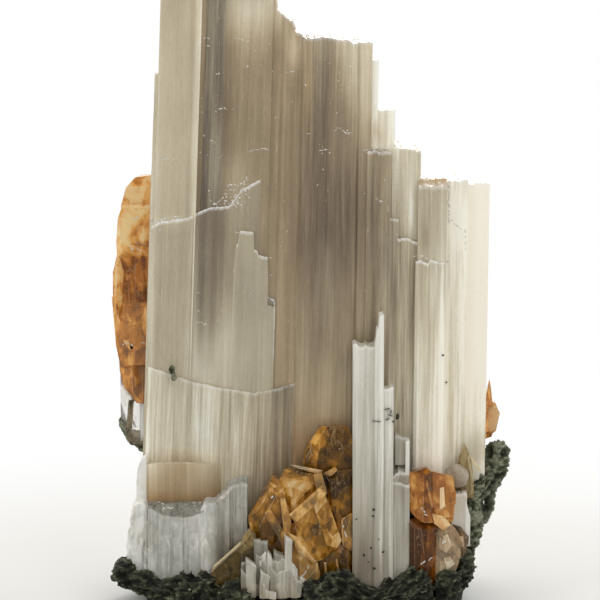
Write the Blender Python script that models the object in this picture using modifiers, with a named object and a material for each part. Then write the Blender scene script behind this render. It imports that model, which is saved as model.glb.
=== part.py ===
"""Ulexite specimen: a fibrous ulexite slab with amber crystals on a clay matrix, in metres, +Z up.

The origin is the middle of the flat sawn base. The fibres run up +Z and the display face looks along -Y.
"""

import math

import bmesh
import bpy
from mathutils import Matrix, Vector, noise

MM = 0.001
GAP = 0.3 * MM  # clearance between a crystal and whatever it grows against

SEAT_Z = 4.0  # how far above the base the crystals end, inside the clay
ROOT_Z = 27.0  # height at which the blade widths below are taken
LEAN_LEFT = 0.036  # sideways run of a fibre per unit height at the left edge
LEAN_RIGHT = 0.009
FLUTE = 0.32  # depth of the grooves between fibre bundles
CLAY_VOXEL = 2.1
CLAY_ROUGH = 0.75
BASE_DEPTH = 0.0

# Fibre bundles of the main mass, in millimetres:
# left, right, front, back, top at the left, top at the right, number of flutes on the front,
# and the height of the foot where it isn't SEAT_Z.
MAIN_BLADES = {
    "edge_sliver": (-26.1, -24.9, -5.5, 1.5, 84.6, 85.2, 1),
    "slab_a": (-25.6, -19.6, -8.0, 3.0, 99.6, 100.4, 3),
    "groove_b": (-20.2, -13.8, -7.1, 9.0, 101.6, 101.0, 5),
    "column_c": (-14.2, -8.0, -8.0, 9.0, 99.4, 97.0, 4),
    "column_c_end": (-8.4, -5.7, -7.7, 9.5, 97.2, 92.6, 2),
    "lobe_c": (-6.1, -2.7, -7.9, 9.5, 91.6, 90.0, 2),
    "column_d": (-3.1, 5.9, -8.6, 10.0, 89.9, 89.8, 6),
    "column_d_end": (5.4, 8.8, -8.0, 10.0, 89.7, 89.3, 2),
    "step_e": (8.3, 9.9, -6.4, 10.5, 86.6, 86.2, 1),
    "step_f": (8.0, 12.5, -7.2, 10.5, 78.9, 78.6, 3),
    "block_f": (8.1, 11.9, -9.2, -6.6, 73.2, 72.9, 3),
    "step_g": (12.1, 16.6, -7.4, 10.5, 72.7, 71.8, 3),
    "step_h": (16.2, 20.7, -9.0, 10.5, 67.3, 67.8, 3),
    "step_i": (20.3, 24.1, -7.2, 10.0, 67.7, 67.4, 3),
    "step_j": (23.7, 27.5, -6.2, 9.0, 67.5, 67.4, 2, 10.5),
    "sheet_g_left": (9.6, 13.2, -8.4, -6.8, 63.6, 62.4, 3),
    "sheet_g_right": (13.0, 15.6, -8.5, -6.8, 60.2, 59.0, 2),
    "sheet_h": (15.9, 20.6, -10.1, -8.4, 56.8, 55.4, 3),
    "sheet_l": (16.9, 19.4, -10.6, -9.6, 39.0, 37.6, 2),
    "sheet_k": (12.4, 15.2, -8.9, -7.0, 25.4, 22.6, 2),
    "fracture_a": (-25.8, -19.9, -8.45, -7.4, 60.4, 62.6, 3),
    "fracture_c": (-13.9, -8.0, -8.45, -7.4, 66.2, 67.6, 3),
    "veil_c": (-12.5, -9.2, -8.9, -7.9, 58.6, 55.2, 2),
    "veil_c_low": (-9.6, -7.4, -8.9, -7.9, 54.0, 50.6, 1),
    "fray_a": (-25.4, -17.6, -8.9, -7.9, 35.4, 34.4, 4),
    "fray_c": (-18.0, -9.4, -8.95, -6.9, 33.8, 33.2, 5),
    "fray_d": (-9.8, -2.8, -8.9, -7.4, 33.4, 34.6, 4),
    "back_left": (-23.4, -13.6, 2.2, 13.0, 92.4, 90.8, 4),
    "back_c": (-14.2, -4.0, 7.6, 15.2, 86.2, 87.6, 4),
    "back_d": (-4.6, 6.2, 8.6, 15.8, 80.8, 79.2, 5),
    "back_f": (5.6, 15.4, 8.8, 15.0, 65.8, 64.4, 4),
    "back_h": (14.8, 24.6, 8.0, 13.6, 57.6, 55.8, 4),
    "fringe_left": (-21.0, -9.0, 12.2, 16.6, 42.0, 38.4, 4),
    "fringe_mid": (-6.0, 3.4, 14.8, 18.0, 29.2, 33.4, 3),
    "fringe_right": (8.6, 19.0, 13.0, 16.8, 26.4, 24.0, 4),
}

# The white prism that stands in front, its lower neighbour and its needle.
FRONT_BLADES = {
    "prism": (6.3, 11.0, -15.0, -10.2, 44.2, 42.8, 3),
    "needle": (9.7, 10.8, -14.2, -12.6, 46.2, 48.0, 1),
    "step": (8.9, 10.1, -14.6, -11.8, 44.8, 45.4, 1),
    "neighbour": (10.7, 14.9, -14.0, -9.9, 36.8, 35.6, 3),
    "toe": (12.6, 15.4, -14.9, -11.4, 13.6, 12.2, 2),
}

# The icy block at the lower left and the clearer shoulder behind it.
LEFT_BLADES = {
    "block": (-28.0, -21.8, -13.4, -8.5, 16.2, 17.4, 3),
    "block_mid": (-22.2, -17.2, -14.2, -8.5, 17.4, 17.0, 3),
    "block_end": (-17.6, -13.4, -13.6, -8.5, 17.8, 19.6, 2),
    "shoulder": (-28.2, -25.2, -9.6, -1.0, 24.6, 25.4, 1),
    "shoulder_foot": (-29.2, -25.2, -10.4, -0.4, 14.8, 16.0, 1),
}

# Small prisms that stick up from the clay in front.
SMALL_BLADES = {
    "left": (-10.4, -7.8, -18.2, -14.6, 11.2, 12.4, 2),
    "middle": (-8.1, -5.6, -19.0, -15.2, 13.8, 13.0, 2),
    "needle": (-5.9, -4.6, -18.2, -16.4, 14.0, 16.4, 1),
    "right": (-4.9, -1.3, -19.2, -15.8, 9.8, 8.6, 2),
}

RIGHT_BLADES = {
    "white": (21.9, 24.9, -11.6, -7.9, 18.6, 19.6, 2),
    "white_low": (22.4, 25.4, -12.4, -9.6, 13.2, 12.2, 1),
}

# Cleaved crystals, in millimetres: centre, half sizes, turn about X, Y and Z in degrees, and the
# faces that take its corners off, each as a direction and its distance from the centre.
AMBER_LEFT = (
    ((-26.8, 7.6, 58.0), (3.7, 5.2, 10.0), (0, 5, -8), ((-1, 0, 1.2, 7.4), (0.6, -1, 1.1, 8.8), (-1, -1, 0.2, 4.7))),
    ((-27.2, 7.4, 46.6), (3.9, 5.6, 9.4), (0, 0, 6), ((-1, -1, -0.3, 4.9), (-1, 0.8, 0.2, 4.8))),
    ((-26.9, 7.2, 35.6), (3.6, 4.6, 6.2), (0, 6, -5), ((-1, -0.4, -1.4, 4.7), (0.2, -1, -0.8, 5.0))),
)
AMBER_CENTRE = (
    ((2.6, -10.9, 22.6), (3.7, 2.2, 7.0), (4, 6, 10), ((1, -0.4, 1.1, 5.0), (-1, -0.5, 0.9, 4.8), (0.2, -1, 0.5, 2.6))),
    ((-1.6, -11.4, 19.4), (3.0, 2.4, 5.4), (0, -16, -14), ((-1, -0.3, 1.2, 4.2), (0.8, -1, 0.6, 3.3))),
    ((-6.0, -12.0, 14.4), (3.6, 2.8, 5.6), (6, -12, 18), ((-1, 0, 1.2, 4.4), (-0.6, -1, -0.8, 3.9), (1, -0.2, 1.4, 4.7))),
    ((0.8, -13.4, 11.4), (4.3, 3.0, 5.4), (-8, 28, -12), ((1, -0.6, 0.6, 4.2), (-1, -0.4, -0.7, 4.5), (0.3, -1, 0.9, 3.6))),
    ((4.2, -12.2, 9.4), (2.3, 2.4, 5.0), (0, -10, 14), ((1, -0.8, 0.8, 3.2),)),
    ((-3.4, -13.6, 8.6), (3.0, 2.4, 4.4), (4, 18, 8), ((-1, -0.6, 0.9, 3.4), (0.6, -1, 0.8, 3.2))),
)
AMBER_RIGHT = (
    ((18.3, -12.4, 16.4), (2.9, 2.4, 5.6), (0, 3, 8), ((-1, -0.6, 0.8, 3.6), (1, -0.5, 1.0, 3.9), (0.1, -1, 0.5, 2.4))),
    ((18.9, -12.6, 8.6), (2.8, 2.8, 5.2), (3, -4, -6), ((1, -0.8, 0.2, 3.1), (-1, -0.6, -0.4, 3.2))),
)
OLIVE_FRONT = (
    ((-13.0, -14.4, 9.0), (2.5, 2.2, 5.6), (0, 9, 12), ((-1, -0.4, 1.2, 4.2), (1, -0.8, 0.5, 3.0))),
    ((-11.2, -13.6, 7.6), (1.8, 2.0, 3.6), (0, -14, -10), ((1, -0.4, 1.0, 2.9),)),
)
PEBBLE = (((22.9, -9.6, 21.6), (1.5, 1.5, 1.6), (8, 14, 20), ((1, -1, 1, 1.9), (-1, -1, 1, 1.9), (1, -1, -1, 2.0))),)
SHARD = (((24.9, -8.2, 22.2), (0.95, 1.4, 4.7), (0, -12, 16), ((-1, -0.4, 0.6, 2.4), (1, -0.6, 0.2, 1.2))),)
EDGE_SLIVER = (((29.2, 1.6, 30.4), (1.0, 3.2, 4.8), (0, 3, 4), ((1, -0.6, 0.5, 2.2), (1, 0.4, -0.7, 2.4), (1, 0, 0.3, 1.1))),)
LEFT_TIP = (
    ((-28.2, 6.8, 29.2), (2.6, 3.4, 5.0), (0, -8, 4), ((-1, -0.4, -1.3, 3.6), (-1, 0.6, 0.8, 4.2), (0.3, -1, -0.7, 4.0))),
)

# The clay: middle and half size of each rounded lump that it is pressed from, in millimetres.
CLAY_LUMPS = (
    ((-0.5, 0.5, 1.6), (24.0, 17.4, 7.2)),
    ((-26.0, -1.0, 4.6), (6.15, 8.5, 3.8)),
    ((-19.5, -12.0, 2.2), (7.4, 5.4, 6.8)),
    ((-8.0, -15.0, 2.0), (11.0, 4.8, 6.8)),
    ((6.0, -15.0, 2.2), (12.0, 4.8, 7.2)),
    ((17.0, -11.8, 3.0), (7.4, 5.8, 7.8)),
    ((20.6, -4.6, 4.4), (6.2, 9.0, 8.2)),
    ((25.2, -5.2, 10.6), (3.0, 4.6, 5.8)),
    ((27.3, -4.0, 16.4), (3.0, 4.2, 5.2)),
    ((29.7, -2.4, 22.0), (3.0, 4.0, 4.5)),
    ((21.6, 6.0, 4.0), (5.4, 9.0, 8.6)),
    ((26.2, 4.6, 13.0), (3.2, 5.4, 6.8)),
    ((1.0, 14.0, 2.4), (18.0, 5.0, 7.8)),
    ((-14.0, 14.6, 4.8), (7.4, 4.0, 9.6)),
    ((-20.4, 8.0, 3.4), (5.6, 7.4, 7.6)),
    ((6.0, 16.6, 5.4), (6.6, 2.8, 9.6)),
    ((16.0, 14.0, 4.2), (6.0, 4.2, 7.4)),
)
RIND_LUMPS = (
    ((-30.4, 6.4, 27.0), (1.4, 3.0, 1.8)),
    ((-29.2, 6.6, 24.8), (1.7, 3.4, 1.6)),
    ((-27.2, 6.6, 23.4), (2.0, 3.4, 1.4)),
)
FLECK_LUMPS = (
    ((-22.0, -9.7, 38.6), (0.55, 0.42, 0.75)),
    ((-21.7, -9.7, 37.4), (0.5, 0.42, 0.7)),
)


def clear_scene():
    for thing in list(bpy.data.objects):
        bpy.data.objects.remove(thing, do_unlink=True)


def new_collection(name, hidden=False):
    made = bpy.data.collections.new(name)
    bpy.context.scene.collection.children.link(made)
    made.hide_render = hidden
    return made


def material(name, colour, rough, transmission=0.0, ior=1.5):
    made = bpy.data.materials.new(name)
    made.use_nodes = True
    shader = made.node_tree.nodes["Principled BSDF"]
    shader.inputs["Base Color"].default_value = (*colour, 1)
    shader.inputs["Roughness"].default_value = rough
    shader.inputs["Transmission Weight"].default_value = transmission
    shader.inputs["IOR"].default_value = ior
    made.diffuse_color = (*colour, 1)
    return made


def lean(x, z):
    """Sideways place of a fibre at height z: the bundles fan out slightly towards the left."""
    share = min(1.0, max(0.0, (x + 13.0) / 23.0))
    return x + (LEAN_LEFT + (LEAN_RIGHT - LEAN_LEFT) * share) * (z - ROOT_Z)


def blade_mesh(bm, sizes, grow=0.0):
    """One fibre bundle: a fluted outline drawn in XY, extruded up, its top cut on a slant."""
    left, right, front, back, top_left, top_right, flutes = sizes[:7]
    foot = sizes[7] if len(sizes) > 7 else SEAT_Z
    width = right - left
    rear = min(0.6, 0.3 * (back - front))
    groove = min(FLUTE, 0.3 * (back - front))
    outline = []
    for i in range(2 * flutes + 1):
        depth = groove * (i % 2) * (0.7 + 0.3 * math.sin(3.1 * i + left))
        outline.append((left + width * i / (2 * flutes), front + depth, -1))
    outline += [
        (right, back - rear, 1),
        (right - 0.22 * width, back, 1),
        (left + 0.3 * width, back - 0.4 * rear, 1),
        (left, back - 1.1 * rear, 1),
    ]
    low = []
    high = []
    for x, y, side in outline:
        share = (x - left) / width
        if share < 0.01:
            x -= grow
        if share > 0.99:
            x += grow
        y += side * grow
        z = top_left + (top_right - top_left) * share + grow
        low.append(bm.verts.new((lean(x, foot), y, foot - grow)))
        high.append(bm.verts.new((lean(x, z), y, z)))
    bm.faces.new(low)
    bm.faces.new(high)
    for i in range(len(low)):
        j = (i + 1) % len(low)
        bm.faces.new((low[i], low[j], high[j], high[i]))
    bmesh.ops.triangulate(bm, faces=[f for f in bm.faces if len(f.verts) > 4])
    bmesh.ops.recalc_face_normals(bm, faces=bm.faces[:])


def crystal_mesh(bm, sizes, grow=0.0):
    """One cleaved crystal: a turned block with its corners taken off along flat faces."""
    centre, half, turn, faces = sizes
    bmesh.ops.create_cube(bm, size=2.0)
    bmesh.ops.scale(bm, vec=[side + grow for side in half], verts=bm.verts[:])
    for direction in faces:
        normal = Vector(direction[:3]).normalized()
        everything = bm.verts[:] + bm.edges[:] + bm.faces[:]
        cut = bmesh.ops.bisect_plane(
            bm,
            geom=everything,
            plane_co=normal * (direction[3] + grow),
            plane_no=normal,
            clear_outer=True,
        )
        edges = [item for item in cut["geom_cut"] if isinstance(item, bmesh.types.BMEdge)]
        bmesh.ops.holes_fill(bm, edges=edges)
    for axis, degrees in zip("XYZ", turn):
        bmesh.ops.rotate(bm, verts=bm.verts[:], matrix=Matrix.Rotation(math.radians(degrees), 3, axis))
    bmesh.ops.translate(bm, vec=centre, verts=bm.verts[:])
    bmesh.ops.recalc_face_normals(bm, faces=bm.faces[:])


def lump_mesh(bm, sizes, grow=0.0):
    centre, half = sizes
    bmesh.ops.create_icosphere(bm, subdivisions=3, radius=1.0)
    bmesh.ops.scale(bm, vec=[side + grow for side in half], verts=bm.verts[:])
    bmesh.ops.translate(bm, vec=centre, verts=bm.verts[:])


def shape_object(name, home, builder, sizes, grow=0.0):
    bm = bmesh.new()
    builder(bm, sizes, grow)
    bmesh.ops.scale(bm, vec=(MM, MM, MM), verts=bm.verts[:])
    mesh = bpy.data.meshes.new(name)
    bm.to_mesh(mesh)
    bm.free()
    made = bpy.data.objects.new(name, mesh)
    home.objects.link(made)
    return made


def hidden(made):
    made.hide_render = True
    made.display_type = "WIRE"
    return made


def boolean(target, operation, operand):
    change = target.modifiers.new(operation.lower() + "_" + operand.name, "BOOLEAN")
    change.operation = operation
    change.solver = "EXACT"
    if isinstance(operand, bpy.types.Collection):
        change.operand_type = "COLLECTION"
        change.collection = operand
    else:
        change.object = operand


def joined(name, home, builder, rows, grow):
    """Overlapping solids as one: the first, with the rest added from a hidden collection."""
    made = shape_object(name, home, builder, rows[0], grow)
    if len(rows) > 1:
        others = new_collection(name + "_solids", hidden=True)
        for i, sizes in enumerate(rows[1:]):
            hidden(shape_object(f"{name}_solid_{i:02d}", others, builder, sizes, grow))
        boolean(made, "UNION", others)
    return made


def grown_group(name, home, builder, rows, look, seats):
    """A piece that grew as one, kept clear of the pieces already placed. Also gives its own seat."""
    rows = list(rows)
    made = joined(name, home, builder, rows, 0.0)
    made.data.materials.append(look)
    for seat in seats:
        boolean(made, "DIFFERENCE", seat)
    return made, hidden(joined(name + "_seat", cutters, builder, rows, GAP / MM))


def pressed_clay(name, home, lumps, voxel, rough, look, flat_base):
    """Lumps of clay pressed into one body, its skin roughened, and its base sawn flat."""
    bm = bmesh.new()
    for sizes in lumps:
        part = bmesh.new()
        lump_mesh(part, sizes)
        temporary = bpy.data.meshes.new("lump")
        part.to_mesh(temporary)
        part.free()
        bm.from_mesh(temporary)
        bpy.data.meshes.remove(temporary)
    mesh = bpy.data.meshes.new(name + "_lumps")
    bm.to_mesh(mesh)
    bm.free()
    lumps_object = bpy.data.objects.new(name + "_lumps", mesh)
    home.objects.link(lumps_object)
    remesh = lumps_object.modifiers.new("press", "REMESH")
    remesh.mode = "VOXEL"
    remesh.voxel_size = voxel
    bpy.context.view_layer.update()
    graph = bpy.context.evaluated_depsgraph_get()
    pressed = bpy.data.meshes.new_from_object(lumps_object.evaluated_get(graph))
    bpy.data.objects.remove(lumps_object, do_unlink=True)
    bm = bmesh.new()
    bm.from_mesh(pressed)
    bmesh.ops.smooth_vert(bm, verts=bm.verts[:], factor=0.4, use_axis_x=True, use_axis_y=True, use_axis_z=True)
    bm.normal_update()
    moves = []
    for vert in bm.verts:
        coarse = noise.noise(vert.co * 0.16)
        fine = noise.noise(vert.co * 0.45 + Vector((7.0, 3.0, 1.0)))
        moves.append(vert.normal * rough * (1.3 * coarse + 0.9 * fine))
    for vert, move in zip(bm.verts, moves):
        vert.co += move
    if flat_base:
        cut = bmesh.ops.bisect_plane(
            bm,
            geom=bm.verts[:] + bm.edges[:] + bm.faces[:],
            plane_co=(0, 0, BASE_DEPTH),
            plane_no=(0, 0, -1),
            clear_outer=True,
        )
        edges = [item for item in cut["geom_cut"] if isinstance(item, bmesh.types.BMEdge)]
        bmesh.ops.holes_fill(bm, edges=edges)
    bmesh.ops.triangulate(bm, faces=bm.faces[:])
    bmesh.ops.recalc_face_normals(bm, faces=bm.faces[:])
    bmesh.ops.scale(bm, vec=(MM, MM, MM), verts=bm.verts[:])
    mesh = bpy.data.meshes.new(name)
    bm.to_mesh(mesh)
    bm.free()
    bpy.data.meshes.remove(pressed)
    made = bpy.data.objects.new(name, mesh)
    made.data.materials.append(look)
    home.objects.link(made)
    return made


clear_scene()
specimen = new_collection("ulexite_specimen")
cutters = new_collection("seat_cutters", hidden=True)

silky = material("ulexite_silky", (0.74, 0.70, 0.63), 0.35, 0.5)
white = material("ulexite_white", (0.84, 0.82, 0.77), 0.4, 0.25)
icy = material("ulexite_icy", (0.82, 0.83, 0.79), 0.25, 0.6)
amber = material("amber_crystal", (0.62, 0.31, 0.10), 0.15, 0.6)
olive = material("olive_crystal", (0.56, 0.48, 0.30), 0.15, 0.7)
grey_clear = material("grey_clear_crystal", (0.62, 0.60, 0.54), 0.15, 0.7)
clay = material("grey_green_clay", (0.10, 0.11, 0.09), 0.9)

mass, mass_seat = grown_group("ulexite_main_mass", specimen, blade_mesh, MAIN_BLADES.values(), silky, [])
front, front_seat = grown_group("ulexite_front_prism", specimen, blade_mesh, FRONT_BLADES.values(), white, [mass_seat])
left, left_seat = grown_group("ulexite_left_block", specimen, blade_mesh, LEFT_BLADES.values(), icy, [mass_seat])
right, right_seat = grown_group("ulexite_right_block", specimen, blade_mesh, RIGHT_BLADES.values(), white, [mass_seat])
centre, centre_seat = grown_group(
    "amber_centre_cluster", specimen, crystal_mesh, AMBER_CENTRE, amber, [mass_seat, front_seat]
)
small, small_seat = grown_group(
    "small_ulexite_cluster", specimen, blade_mesh, SMALL_BLADES.values(), white, [centre_seat]
)
olive_crystal, olive_seat = grown_group(
    "olive_front_crystal", specimen, crystal_mesh, OLIVE_FRONT, olive, [mass_seat, left_seat, small_seat, centre_seat]
)
amber_right, amber_right_seat = grown_group(
    "amber_right_crystal", specimen, crystal_mesh, AMBER_RIGHT, amber, [mass_seat, front_seat, right_seat]
)
pebble, pebble_seat = grown_group(
    "grey_clear_pebble", specimen, crystal_mesh, PEBBLE, grey_clear, [mass_seat, right_seat, amber_right_seat]
)
shard, shard_seat = grown_group(
    "tan_shard", specimen, crystal_mesh, SHARD, olive, [mass_seat, right_seat, pebble_seat]
)
edge_sliver, edge_seat = grown_group(
    "amber_edge_sliver", specimen, crystal_mesh, EDGE_SLIVER, amber, [mass_seat]
)
amber_left, amber_left_seat = grown_group(
    "amber_left_crystal", specimen, crystal_mesh, AMBER_LEFT, amber, [mass_seat]
)
left_tip, left_tip_seat = grown_group(
    "ulexite_left_tip", specimen, crystal_mesh, LEFT_TIP, icy, [mass_seat, amber_left_seat]
)

rind = pressed_clay("clay_left_rind", specimen, RIND_LUMPS, 0.8, 0.25, clay, False)
for seat in (mass_seat, left_tip_seat, left_seat):
    boolean(rind, "DIFFERENCE", seat)

fleck = pressed_clay("clay_fleck", specimen, FLECK_LUMPS, 0.3, 0.08, clay, False)
boolean(fleck, "DIFFERENCE", mass_seat)

matrix = pressed_clay("clay_matrix", specimen, CLAY_LUMPS, CLAY_VOXEL, CLAY_ROUGH, clay, True)
for seat in (
    mass_seat,
    front_seat,
    left_seat,
    right_seat,
    centre_seat,
    small_seat,
    olive_seat,
    amber_right_seat,
    shard_seat,
    pebble_seat,
    edge_seat,
):
    boolean(matrix, "DIFFERENCE", seat)
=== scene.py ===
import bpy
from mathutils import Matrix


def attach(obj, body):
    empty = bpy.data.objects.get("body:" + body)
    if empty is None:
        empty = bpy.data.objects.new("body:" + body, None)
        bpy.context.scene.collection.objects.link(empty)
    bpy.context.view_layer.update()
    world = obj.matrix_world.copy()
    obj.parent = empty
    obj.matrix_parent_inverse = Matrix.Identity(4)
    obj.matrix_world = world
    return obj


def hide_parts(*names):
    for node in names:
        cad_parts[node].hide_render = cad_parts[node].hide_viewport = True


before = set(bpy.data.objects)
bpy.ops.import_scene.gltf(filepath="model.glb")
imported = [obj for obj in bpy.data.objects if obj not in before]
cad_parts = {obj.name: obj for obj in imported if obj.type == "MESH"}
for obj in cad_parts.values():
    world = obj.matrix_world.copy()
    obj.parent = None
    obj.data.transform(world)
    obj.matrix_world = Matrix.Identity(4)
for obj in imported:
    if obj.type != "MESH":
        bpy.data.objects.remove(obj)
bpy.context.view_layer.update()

import math

import bmesh
import bpy
import numpy as np
from mathutils import Matrix, Vector, noise
from mathutils.bvhtree import BVHTree

MM = 0.001  # sizes of the specimen are in millimetres, and those of the studio in metres

# ---------------------------------------------------------------------------------------------
# Studio: a long lens a little above the specimen, a white sweep of floor, a white room that is
# brightest behind and above, and soft lamps, so that light comes through the thin crystals.
# ---------------------------------------------------------------------------------------------
CAMERA_TILT = math.radians(7)
CAMERA_RANGE = 0.42667
LOOK_AT = Vector((-1.9, 0, 48.4)) * MM

lens = bpy.data.cameras.new("studio_lens")
lens.lens = 160
lens.sensor_width = 36
lens.clip_start = 0.01
lens.clip_end = 20
camera = bpy.data.objects.new("studio_camera", lens)
camera.location = LOOK_AT + Vector((0, -math.cos(CAMERA_TILT), math.sin(CAMERA_TILT))) * CAMERA_RANGE
camera.rotation_euler = (math.pi / 2 - CAMERA_TILT, 0, 0)
bpy.context.scene.collection.objects.link(camera)
bpy.context.scene.camera = camera
bpy.context.scene.view_settings.view_transform = "Standard"


class Wiring:
    """Short hand for making, setting and joining the nodes of a room or a material."""

    def __init__(self, owner):
        owner.use_nodes = True
        self.tree = owner.node_tree

    def feed(self, socket, value):
        """Links an output to the socket, or puts a plain value or colour on it."""
        if isinstance(value, bpy.types.NodeSocket):
            self.tree.links.new(value, socket)
        elif isinstance(value, tuple) and socket.type == "RGBA":
            socket.default_value = (*value, 1)
        else:
            socket.default_value = value

    def node(self, kind, sockets=(), **settings):
        made = self.tree.nodes.new(kind)
        for title, value in settings.items():
            setattr(made, title, value)
        for title, value in sockets:
            self.feed(made.inputs[title], value)
        return made

    def split(self, source):
        return self.node("ShaderNodeSeparateXYZ", [("Vector", source)]).outputs

    def spread(self, source, low, high, to_low=0, to_high=1, **settings):
        """The source stretched from one range of values to another."""
        return self.node("ShaderNodeMapRange", (("Value", source), ("From Min", low), ("From Max", high),
                         ("To Min", to_low), ("To Max", to_high)), clamp=True, **settings).outputs["Result"]

    def math(self, kind, first, second=0, third=0, clamp=False):
        return self.node("ShaderNodeMath", enumerate((first, second, third)), operation=kind,
                         use_clamp=clamp).outputs["Value"]

    def blend(self, amount, first, second):
        return self.node("ShaderNodeMixShader", enumerate((amount, first, second))).outputs["Shader"]


def meshed(bm, name):
    mesh = bpy.data.meshes.new(name)
    bm.to_mesh(mesh)
    bm.free()
    return mesh


room = bpy.data.worlds.new("white_room")
wires = Wiring(room)
backdrop = wires.tree.nodes["Background"]
backdrop.inputs["Color"].default_value = (1, 1, 1, 1)
backdrop.inputs["Strength"].default_value = 1
glow = wires.node("ShaderNodeBackground", [("Color", (1, 0.985, 0.96))])
toward = wires.split(wires.node("ShaderNodeTexCoord").outputs["Generated"])
behind = wires.spread(toward["Y"], -0.9, 0.7, 0.42, 1.05, interpolation_type="SMOOTHSTEP")
above = wires.spread(toward["Z"], 0, 1, 0, 0.35)
wires.feed(glow.inputs["Strength"], wires.math("ADD", behind, above))
seen = wires.node("ShaderNodeLightPath").outputs["Is Camera Ray"]
wires.feed(wires.tree.nodes["World Output"].inputs["Surface"], wires.blend(seen, glow.outputs["Background"],
    backdrop.outputs["Background"]))
bpy.context.scene.world = room

for name, place, aim, size, power in (
        ("key_lamp", (-0.34, -0.3, 0.46), (0, 0, 0.06), 0.2, 0.5),
        ("side_lamp", (0.2, -0.4, 0.34), (0, 0, 0.06), 0.2, 0.42),
        ("back_lamp", (0.12, 0.5, 0.36), (0, 0, 0.05), 0.3, 2.2)):
    lamp = bpy.data.lights.new(name, "AREA")
    lamp.shape = "DISK"
    lamp.size = size
    lamp.energy = power
    made = bpy.data.objects.new(name, lamp)
    made.location = place
    made.rotation_euler = (Vector(aim) - Vector(place)).to_track_quat("-Z", "Y").to_euler()
    bpy.context.scene.collection.objects.link(made)


class Shader(Wiring):
    """A material of one Principled surface, wired by short calls."""

    def __init__(self, name):
        self.material = bpy.data.materials.new(name)
        super().__init__(self.material)
        self.skin = self.tree.nodes["Principled BSDF"]

    def paint(self, **sources):
        for title, source in sources.items():
            self.feed(self.skin.inputs[title.replace("_", " ")], source)

    def attribute(self, title, output="Fac"):
        return self.node("ShaderNodeAttribute", attribute_name=title).outputs[output]

    def object_place(self):
        return self.node("ShaderNodeTexCoord").outputs["Object"]

    def place(self, source, scale, turn=(0, 0, 0)):
        sockets = (("Vector", source), ("Scale", scale), ("Rotation", turn))
        return self.node("ShaderNodeMapping", sockets).outputs["Vector"]

    def noise(self, place, scale=1, detail=3, rough=0.55, twist=0):
        return self.node("ShaderNodeTexNoise", (("Vector", place), ("Scale", scale), ("Detail", detail),
                         ("Roughness", rough), ("Distortion", twist))).outputs["Fac"]

    def cells(self, place, feature="F1", output="Distance"):
        made = self.node("ShaderNodeTexVoronoi", (("Vector", place), ("Scale", 1)), feature=feature)
        return made.outputs[output]

    def cell_value(self, place):
        """A random number for each cell."""
        parts = self.node("ShaderNodeSeparateColor")
        self.feed(parts.inputs["Color"], self.cells(place, output="Color"))
        return parts.outputs["Red"]

    def swing(self, source, amount, base, clamp=False):
        """The base moved up or down by a source that wavers about 0.5."""
        return self.math("MULTIPLY_ADD", self.math("SUBTRACT", source, 0.5), amount, base, clamp)

    def ramp(self, source, stops):
        made = self.node("ShaderNodeValToRGB", [("Fac", source)])
        while len(made.color_ramp.elements) < len(stops):
            made.color_ramp.elements.new(0.5)
        for element, (place, colour) in zip(made.color_ramp.elements, stops):
            element.position = place
            element.color = (*colour, 1)
        return made.outputs["Color"]

    def mix(self, amount, first, second, kind="MIX"):
        sockets = ((0, amount), (6, first), (7, second))
        return self.node("ShaderNodeMix", sockets, data_type="RGBA", blend_type=kind).outputs[2]

    def bump(self, height, strength, distance):
        sockets = (("Height", height), ("Strength", strength), ("Distance", distance))
        self.paint(Normal=self.node("ShaderNodeBump", sockets).outputs["Normal"])


FLOOR_RADIUS = 2.5
bm = bmesh.new()
bmesh.ops.create_circle(bm, cap_ends=True, radius=FLOOR_RADIUS, segments=96)
floor_mesh = meshed(bm, "floor")
floor = bpy.data.objects.new("floor", floor_mesh)
bpy.context.scene.collection.objects.link(floor)
look = Shader("white_sweep")
look.paint(Base_Color=(0.575, 0.575, 0.555), Roughness=0.9)
white = look.node("ShaderNodeEmission").outputs["Emission"]
far = look.node("ShaderNodeVectorMath", [(0, look.object_place())], operation="LENGTH").outputs["Value"]
fade = look.spread(far, 0.045, 0.15, interpolation_type="SMOOTHSTEP")
look.feed(look.tree.nodes["Material Output"].inputs["Surface"], look.blend(fade, look.skin.outputs["BSDF"],
    white))
floor_mesh.materials.append(look.material)

# ---------------------------------------------------------------------------------------------
# Main mass: parallel fibres of ulexite that grew as one slab. Each bundle is a long prism with
# fluted sides and a top that broke off in small steps; the overlapping bundles of a piece are gathered into
# one mesh.
# ---------------------------------------------------------------------------------------------
SEAT_Z = 4  # where the crystals are seated in the clay
ROOT_Z = 27  # the level from which the bundles fan out
FAN_START, FAN_SPAN = -13, 23  # across, where the lean begins to fade and over what width
LEAN_LEFT, LEAN_FADE = 0.036, 0.027  # lean for each unit of height, and how much of it fades
TINY = 1e-4


def scatter(seed, x):
    """A repeatable number from 0 to 1 for each whole x."""
    raw = np.sin(np.floor(x) * 127.1 + seed * 311.7) * 43758.5453
    return raw - np.floor(raw)


def drift(seed, x):
    """Smooth waver from -1 to 1 along a line."""
    cell = np.floor(x)
    part = x - cell
    part = part * part * (3 - 2 * part)
    first = scatter(seed, cell)
    return (first + (scatter(seed, cell + 1) - first) * part) * 2 - 1


def drift_2d(seed, x, y):
    row = np.floor(y)
    part = y - row
    part = part * part * (3 - 2 * part)
    low = drift(seed, x + 17.31 * row)
    high = drift(seed, x + 17.31 * (row + 1))
    return low + (high - low) * part


def ease(low, high, x):
    part = np.clip((x - low) / (high - low), 0, 1)
    return part * part * (3 - 2 * part)


def lean(x, z):
    """The bundles fan out slightly towards the left as they rise."""
    share = np.clip((x - FAN_START) / FAN_SPAN, 0, 1)
    return x + (LEAN_LEFT - LEAN_FADE * share) * (z - ROOT_Z)


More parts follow.
